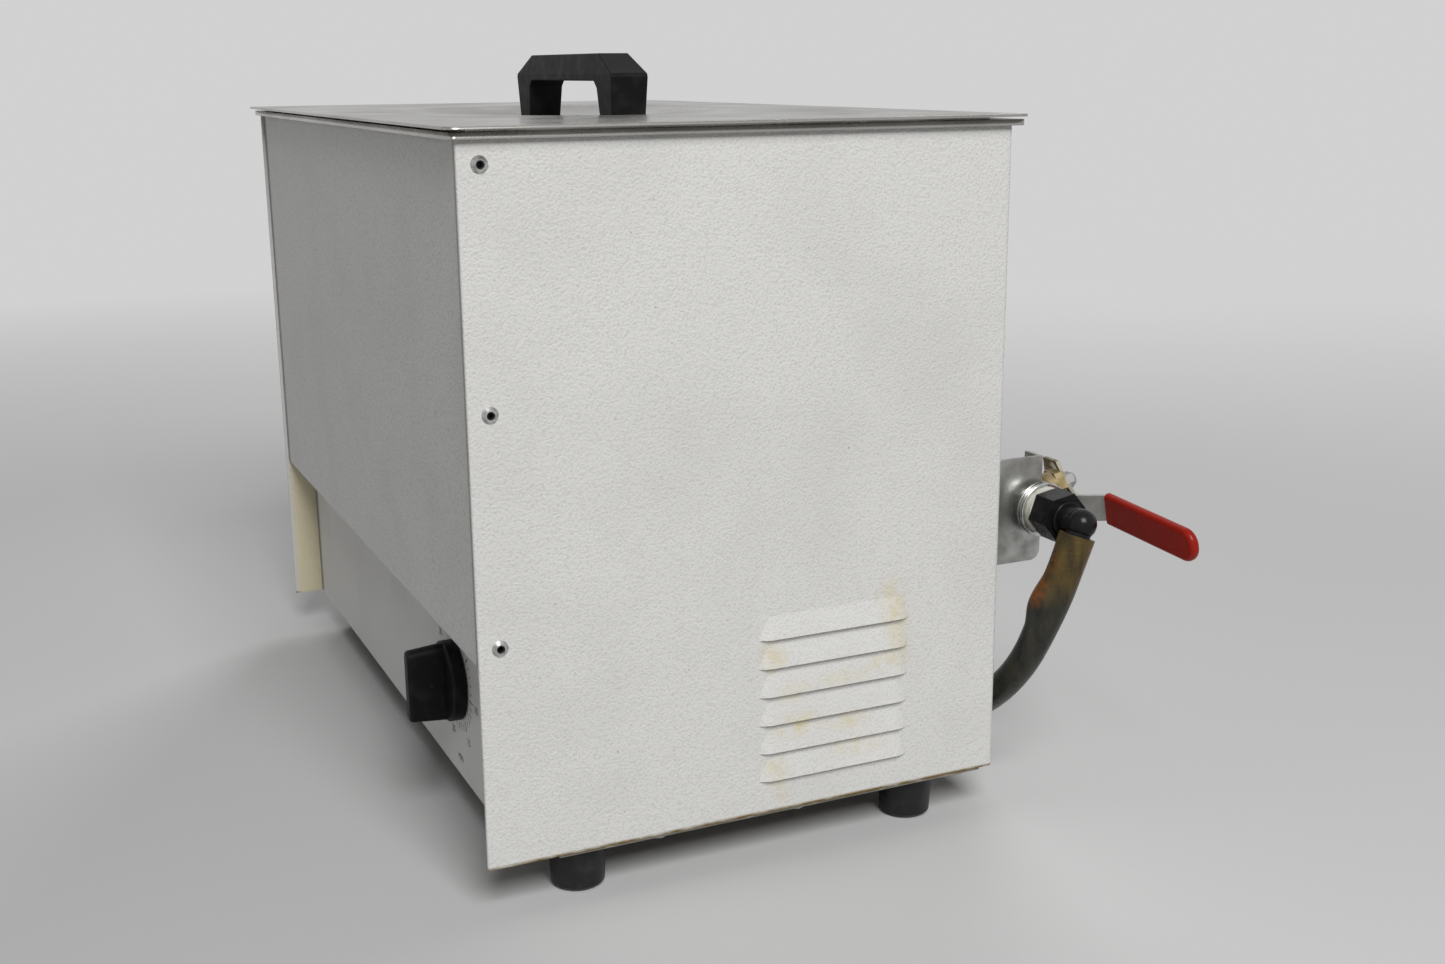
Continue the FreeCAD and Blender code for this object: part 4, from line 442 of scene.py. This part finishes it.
# Lid: a stainless sheet with a shallow dish, so that condensed water drips back into the tank.
# It lies loose on the rim, is brushed along its length and has a smoothed edge.
LID_LOW = 430.5 * MM
LID_HIGH = 432 * MM
dress(stainless("lid_steel", LID_LOW, LID_HIGH), "lid")


# Lid handle: a bridge with sloping ends, moulded in black plastic with a fine grain.
# Two screws from under the lid hold it.
black_plastic = moulded(
    "black_plastic", colour=(0.007, 0.007, 0.008), worn=(0.016, 0.016, 0.015), rough=0.42, grain=0.5 * MM,
    grain_depth=0.05 * MM, gloss=0.08)
dress(black_plastic, "lid_handle")
dress(screw_zinc, "handle_screws")


# Timer and knob: a wind-up timer behind the panel, with a bar-grip knob of black plastic on its shaft.
# A black set screw in the bar holds the knob, and a nut holds the timer's bush to the panel.
dress(black_plastic, "timer_knob", "timer_body")
dress(screw_zinc, "timer_nut", "timer_shaft")
black_oxide = metal(
    "black_oxide", light=(0.050, 0.050, 0.052), dark=(0.030, 0.030, 0.030), rough=0.45, patch=2 * MM)[0]
dress(black_oxide, "knob_set_screw")


# Transducers: six stacks bonded under the tank, each an aluminium head, two ceramic rings and a steel tail.
# One bolt clamps each stack.
machined = metal(
    "machined_aluminium", light=(0.66, 0.66, 0.66), dark=(0.52, 0.52, 0.52), rough=0.34, patch=6 * MM)[0]
dress(machined, "transducer_heads")
ceramic = moulded(
    "ring_ceramic", colour=(0.60, 0.54, 0.42), worn=(0.70, 0.65, 0.55), rough=0.55, grain=0.4 * MM,
    grain_depth=0.02 * MM)
dress(ceramic, "piezo_rings")
dress(screw_zinc, "tail_masses", "stack_bolts")


# Heaters and thermostat: two red silicone mats with wire inside, bonded to the tank's long walls,
# and a snap thermostat in a zinc-plated can, clipped to the tank's left end.
silicone = moulded(
    "heater_silicone", colour=(0.34, 0.075, 0.040), worn=(0.42, 0.13, 0.08), rough=0.60, grain=1.2 * MM,
    grain_depth=0.12 * MM)
dress(silicone, "heater_pad_front", "heater_pad_rear")
dress(screw_zinc, "thermostat")


# Generator board: a green circuit board on brass posts, screwed to the bottom pan.
# It carries a finned aluminium heat sink, transistors, a transformer, capacitors and the leads' terminals.
board_green = moulded(
    "board_green", colour=(0.020, 0.120, 0.050), worn=(0.030, 0.160, 0.070), rough=0.38, grain=2.5 * MM,
    grain_depth=0.02 * MM)
dress(board_green, "generator_board")
brass = metal("plain_brass", light=(0.42, 0.34, 0.19), dark=(0.18, 0.13, 0.06), rough=0.42, patch=8 * MM)[0]
dress(brass, "board_standoffs")
dress(machined, "heat_sink", "filter_capacitors")
dress(screw_zinc, "board_screws")
dress(black_plastic, "power_transistors", "output_transformer", "terminal_block")
lead_black = moulded(
    "lead_insulation", colour=(0.020, 0.020, 0.024), worn=(0.040, 0.040, 0.042), rough=0.45,
    grain=0.6 * MM, grain_depth=0.03 * MM)
dress(lead_black, "harness_leads")


# Power inlet: a three-pin socket of black plastic, with brass pins.
# Two screws hold it in the back wall.
dress(black_plastic, "power_inlet")
dress(brass, "inlet_pins")
dress(screw_zinc, "inlet_screws")


# Drain line: tarnished brass pipe fittings, screwed together from the tank's floor through the back wall
# to the ball valve. A rubber gasket seals the spud in the tank's floor.
dress(brass, "drain_spud", "drain_nut", "inner_elbow", "wall_nipple", "outer_elbow", "valve_nipple")
dress(black_rubber, "drain_gasket")


# Ball valve: a forged brass body with a plated end screwed into it, and a plated ball between white seats.
# A zinc-plated stem, sealed by a packing nut, joins the ball to the lever.
bright_plate = metal(
    "bright_plate", light=(0.66, 0.66, 0.65), dark=(0.40, 0.40, 0.38), rough=0.20, patch=5 * MM)[0]
dress(brass, "valve_body", "packing_nut")
dress(bright_plate, "valve_end", "valve_ball")
seal_white = moulded(
    "seal_white", colour=(0.62, 0.61, 0.54), worn=(0.46, 0.43, 0.33), rough=0.50, grain=0.8 * MM,
    grain_depth=0.04 * MM)
dress(seal_white, "ball_seats", "sealing_washer")
dress(screw_zinc, "valve_stem", "stem_nut")


# Lever: a strip stamped from plated steel, yellowed at its ear and grey along its arm, held by a domed nut.
# Its grip has a sleeve of smooth red vinyl, made by dipping.
EAR_END = 236 * MM
ARM_START = 248 * MM
PASSIVE_YELLOW = (0.27, 0.24, 0.155)
YELLOW_PATCH = 6 * MM
lever_zinc, lever_shader, lever_spot, lever_colour = metal(
    "lever_zinc", light=(0.60, 0.60, 0.58), dark=(0.44, 0.44, 0.42), rough=0.42, patch=7 * MM)
ear = along(lever_zinc, lever_spot, "X", ARM_START, EAR_END)
yellowing = mottle(lever_zinc, lever_spot, YELLOW_PATCH, detail=3.0)
yellowing = spread(lever_zinc, yellowing, 0.3, 0.6, start=0.5)
ear = combine(lever_zinc, ear, yellowing)
feed(lever_zinc, tint(lever_zinc, ear, lever_colour, PASSIVE_YELLOW), lever_shader.inputs["Base Color"])
dress(lever_zinc, "valve_lever")
red_vinyl = moulded(
    "red_vinyl", colour=(0.27, 0.009, 0.003), worn=(0.31, 0.012, 0.004), rough=0.25, grain=3 * MM,
    grain_depth=0.03 * MM, patch=25 * MM, gloss=0.18)
dress(red_vinyl, "lever_grip")


# Valve bracket: a bent plate of dull zinc-coated steel, smeared and scuffed.
# It is screwed to the back wall and carries the valve by its neck.
bracket_zinc = metal(
    "bracket_zinc", light=(0.50, 0.50, 0.485), dark=(0.30, 0.30, 0.285), rough=0.38, patch=10 * MM,
    stretch=(1, 1, 5), grain=0.6 * MM)[0]
dress(bracket_zinc, "valve_bracket")
dress(screw_zinc, "bracket_screws")


# Hose elbow: an elbow with a hexagon and a barb, moulded in glossy black plastic.
# It is screwed into the valve's end against a white washer.
elbow_black = moulded(
    "elbow_black", colour=(0.007, 0.007, 0.008), worn=(0.015, 0.015, 0.015), rough=0.24, grain=0.6 * MM,
    grain_depth=0.03 * MM, gloss=0.18)
dress(elbow_black, "hose_elbow")


# Drain hose: a vinyl tube pushed over the elbow's barb, browned and rusty at the top and smoky below.
# It bulges where the barb ends, drops behind the case and lies along the bench.
HOSE_RADIUS = 9.5 * MM
HOSE_BORE = 6.4 * MM
# Each point of the hose's middle line, in millimetres, and the hose's width there against its plain width.
HOSE_ROUTE = (
    (298, 207.97, 180.05, 1.19),
    (298, 200.58, 159.75, 1.12),
    (296, 193.4, 141.7, 1.24),
    (289.5, 189.5, 119, 1.06),
    (277.5, 187.5, 95.5, 1.0),
    (258, 186.5, 73, 1.0),
    (232, 186.5, 52, 1.0),
    (200, 187, 34, 1.0),
    (163, 188.5, 19.5, 1.0),
    (122, 192, 11.5, 1.0),
    (77, 197.5, 9.8, 1.0),
    (30, 205, 9.7, 1.0),
    (-17, 211, 9.7, 1.0),
    (-62, 213, 9.7, 1.0),
    (-102, 211, 9.7, 1.0),
)
hose_line = bpy.data.curves.new("drain_hose_line", "CURVE")
hose_line.dimensions = "3D"
hose_line.resolution_u = 10
hose_run = hose_line.splines.new("NURBS")
hose_run.points.add(len(HOSE_ROUTE) - 1)
for point, (x, y, z, swell) in zip(hose_run.points, HOSE_ROUTE):
    point.co = (x * MM, y * MM, z * MM, 1.0)
    point.radius = swell
hose_run.order_u = 3
hose_run.use_endpoint_u = True
hose = bpy.data.objects.new("vinyl_hose", hose_line)
bpy.context.scene.collection.objects.link(hose)
hose_centre = bpy.data.meshes.new_from_object(hose)
bpy.data.meshes.remove(hose_centre)
hose_line.bevel_depth = HOSE_RADIUS
hose_line.bevel_resolution = 10
select_only(hose)
bpy.ops.object.convert(target="MESH")
hose = bpy.context.view_layer.objects.active
BULGE_PLACE = Vector((291, 182.5, 139)) * MM
BULGE_REACH = 19 * MM
BULGE_PUSH = Vector((-0.42, -0.91, 0)) * 2.4 * MM
for vertex in hose.data.vertices:
    near = max(0.0, 1 - (vertex.co - BULGE_PLACE).length_squared / BULGE_REACH ** 2)
    vertex.co += BULGE_PUSH * near ** 2
wall = hose.modifiers.new("wall", "SOLIDIFY")
wall.thickness = HOSE_RADIUS - HOSE_BORE
wall.offset = -1
bpy.ops.object.modifier_apply(modifier="wall")
bpy.ops.object.shade_smooth_by_angle(angle=math.radians(50))
HOSE_SMOKE = (0.018, 0.018, 0.015)
HOSE_OLIVE = (0.040, 0.038, 0.026)
HOSE_AMBER = (0.088, 0.058, 0.015)
HOSE_BROWN = (0.040, 0.028, 0.010)
HOSE_RUST = (0.165, 0.052, 0.007)
HOSE_ROUGH = (0.24, 0.42)
HOSE_GLOSS = 0.25
STREAK_WIDTH = 7 * MM
STREAK_STRETCH = (1, 1, 3.5)
RUST_PATCH = 6 * MM
BROWN_START = 136 * MM
BROWN_FULL = 156 * MM
RINGS_START = 140 * MM
RINGS_FULL = 160 * MM
RING_PITCH = 1.7 * MM
RING_STRETCH = (6, 6, 1)
LUMP_SIZE = 4 * MM
LUMP_DEPTH = 0.35 * MM
hose_vinyl, hose_shader, hose_spot = start_finish("hose_vinyl")
streaks = mottle(hose_vinyl, hose_spot, STREAK_WIDTH, detail=4.0, stretch=STREAK_STRETCH)
hose_colour = tint(hose_vinyl, spread(hose_vinyl, streaks, 0.38, 0.68), HOSE_SMOKE, HOSE_OLIVE)
browned = tint(hose_vinyl, spread(hose_vinyl, streaks, 0.36, 0.64), HOSE_BROWN, HOSE_AMBER)
upper_end = along(hose_vinyl, hose_spot, "Z", BROWN_START, BROWN_FULL)
hose_colour = tint(hose_vinyl, upper_end, hose_colour, browned)
rust = spread(hose_vinyl, mottle(hose_vinyl, hose_spot, RUST_PATCH, detail=3.0), 0.36, 0.62)
# Each rusty patch: its middle and its reach, in millimetres, and its strength.
RUST_PLACES = (
    ((292, 184, 147), (11, 11, 15), 1.0),
    ((304, 211, 162), (8, 8, 22), 0.8),
    ((297, 190, 166), (7, 7, 12), 0.5),
)
for centre, reach, amount in RUST_PLACES:
    rusty = patch_at(hose_vinyl, hose_spot, [v * MM for v in centre], [v * MM for v in reach])
    rusty = spread(hose_vinyl, combine(hose_vinyl, rusty, rust), 0.0, 0.5, end=amount)
    hose_colour = tint(hose_vinyl, rusty, hose_colour, HOSE_RUST)
feed(hose_vinyl, hose_colour, hose_shader.inputs["Base Color"])
feed(hose_vinyl, spread(hose_vinyl, streaks, *CLOUD_SPAN, *HOSE_ROUGH), hose_shader.inputs["Roughness"])
hose_shader.inputs["Specular IOR Level"].default_value = HOSE_GLOSS
rings = mottle(hose_vinyl, hose_spot, RING_PITCH, detail=1.0, stretch=RING_STRETCH)
rings = combine(hose_vinyl, rings, along(hose_vinyl, hose_spot, "Z", RINGS_START, RINGS_FULL))
lumps = combine(hose_vinyl, rings, mottle(hose_vinyl, hose_spot, LUMP_SIZE), "ADD")
relief(hose_vinyl, hose_shader, lumps, LUMP_DEPTH)
hose.data.materials.clear()
hose.data.materials.append(hose_vinyl)
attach(hose, "base")
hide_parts("drain_hose")


# Studio: a pale floor that fades into a pale backdrop.
# One large soft lamp stands on the right, and weaker ones in front and behind.
FLOOR_PALE = (0.55, 0.55, 0.55)
FLOOR_DULL = (0.53, 0.53, 0.53)
# The floor is a square that fades out between two distances from the bath, in metres.
FLOOR_SIZE = 14.0
FLOOR_FADE = (0.9, 2.6)
FLOOR_CLOUD = 0.8
# How bright the backdrop is where it is seen or reflected, and how much light it gives.
BACKDROP_SEEN = 0.64
BACKDROP_FILL = 0.13
bpy.ops.object.select_all(action="DESELECT")
bpy.ops.mesh.primitive_plane_add(size=FLOOR_SIZE, location=(0, 0, 0))
floor = bpy.context.view_layer.objects.active
floor.name = "studio_floor"
floor_paint, floor_shader, floor_spot = start_finish("floor_paint")
floor_nodes = floor_paint.node_tree.nodes
floor_clouds = spread(floor_paint, mottle(floor_paint, floor_spot, FLOOR_CLOUD), *CLOUD_SPAN)
feed(floor_paint, tint(floor_paint, floor_clouds, FLOOR_PALE, FLOOR_DULL), floor_shader.inputs["Base Color"])
floor_shader.inputs["Roughness"].default_value = 0.8
floor_shader.inputs["Specular IOR Level"].default_value = 0.1
reach = floor_nodes.new("ShaderNodeVectorMath")
reach.operation = "LENGTH"
feed(floor_paint, floor_spot, reach.inputs[0])
fade = floor_nodes.new("ShaderNodeMixShader")
feed(floor_paint, spread(floor_paint, reach.outputs["Value"], *FLOOR_FADE), fade.inputs["Fac"])
feed(floor_paint, floor_shader.outputs["BSDF"], fade.inputs[1])
feed(floor_paint, floor_nodes.new("ShaderNodeBsdfTransparent").outputs["BSDF"], fade.inputs[2])
feed(floor_paint, fade.outputs["Shader"], floor_nodes["Material Output"].inputs["Surface"])
floor.data.materials.append(floor_paint)

studio = bpy.data.worlds.new("studio")
studio.use_nodes = True
bpy.context.scene.world = studio
backdrop = studio.node_tree.nodes["Background"]
backdrop.inputs["Color"].default_value = (1.0, 1.0, 1.0, 1.0)
rays = studio.node_tree.nodes.new("ShaderNodeLightPath")
seen = combine(studio, rays.outputs["Is Camera Ray"], rays.outputs["Is Glossy Ray"], "MAXIMUM")
seen = combine(studio, seen, rays.outputs["Is Transmission Ray"], "MAXIMUM")
feed(studio, spread(studio, seen, 0.0, 1.0, BACKDROP_FILL, BACKDROP_SEEN), backdrop.inputs["Strength"])

BATH_MIDDLE = Vector((0, 0, 0.2))


def soft_lamp(name, place, size, power):
    """A square soft box that faces the middle of the bath, in metres and watts."""
    light = bpy.data.lights.new(name, "AREA")
    light.size = size
    light.energy = power
    lamp = bpy.data.objects.new(name, light)
    lamp.location = place
    lamp.rotation_euler = (BATH_MIDDLE - Vector(place)).to_track_quat("-Z", "Y").to_euler()
    bpy.context.scene.collection.objects.link(lamp)
    return lamp


soft_lamp("side_box", place=(3.0, -0.45, 2.9), size=1.8, power=150)
soft_lamp("front_box", place=(-0.6, -3.2, 1.6), size=1.6, power=3)
# The rear lamp lights the back without a glare of its own on the lid.
rear_box = soft_lamp("rear_box", place=(-2.8, 2.2, 2.0), size=1.8, power=75)
rear_box.visible_glossy = False


# Camera: at the photographed viewing angle, with the lens that was solved together with the case's corners.
# Its place is in metres, and its axes are written as unit vectors.
CAMERA_PLACE = Vector((1.0877, -0.3923, 0.4589))
CAMERA_RIGHT = Vector((0.41889, 0.90800, -0.00812))
CAMERA_UP = Vector((-0.21793, 0.10921, 0.96983))
CAMERA_BACK = Vector((0.88150, -0.40448, 0.24363))
SENSOR_MM = 36.0
LENS_MM = 41.09
eye = bpy.data.cameras.new("photo_eye")
eye.sensor_width = SENSOR_MM
eye.lens = LENS_MM
camera = bpy.data.objects.new("photo_camera", eye)
facing = Matrix((CAMERA_RIGHT, CAMERA_UP, CAMERA_BACK)).transposed().to_4x4()
camera.matrix_world = Matrix.Translation(CAMERA_PLACE) @ facing
bpy.context.scene.collection.objects.link(camera)
bpy.context.scene.camera = camera
bpy.context.scene.view_settings.view_transform = "Standard"
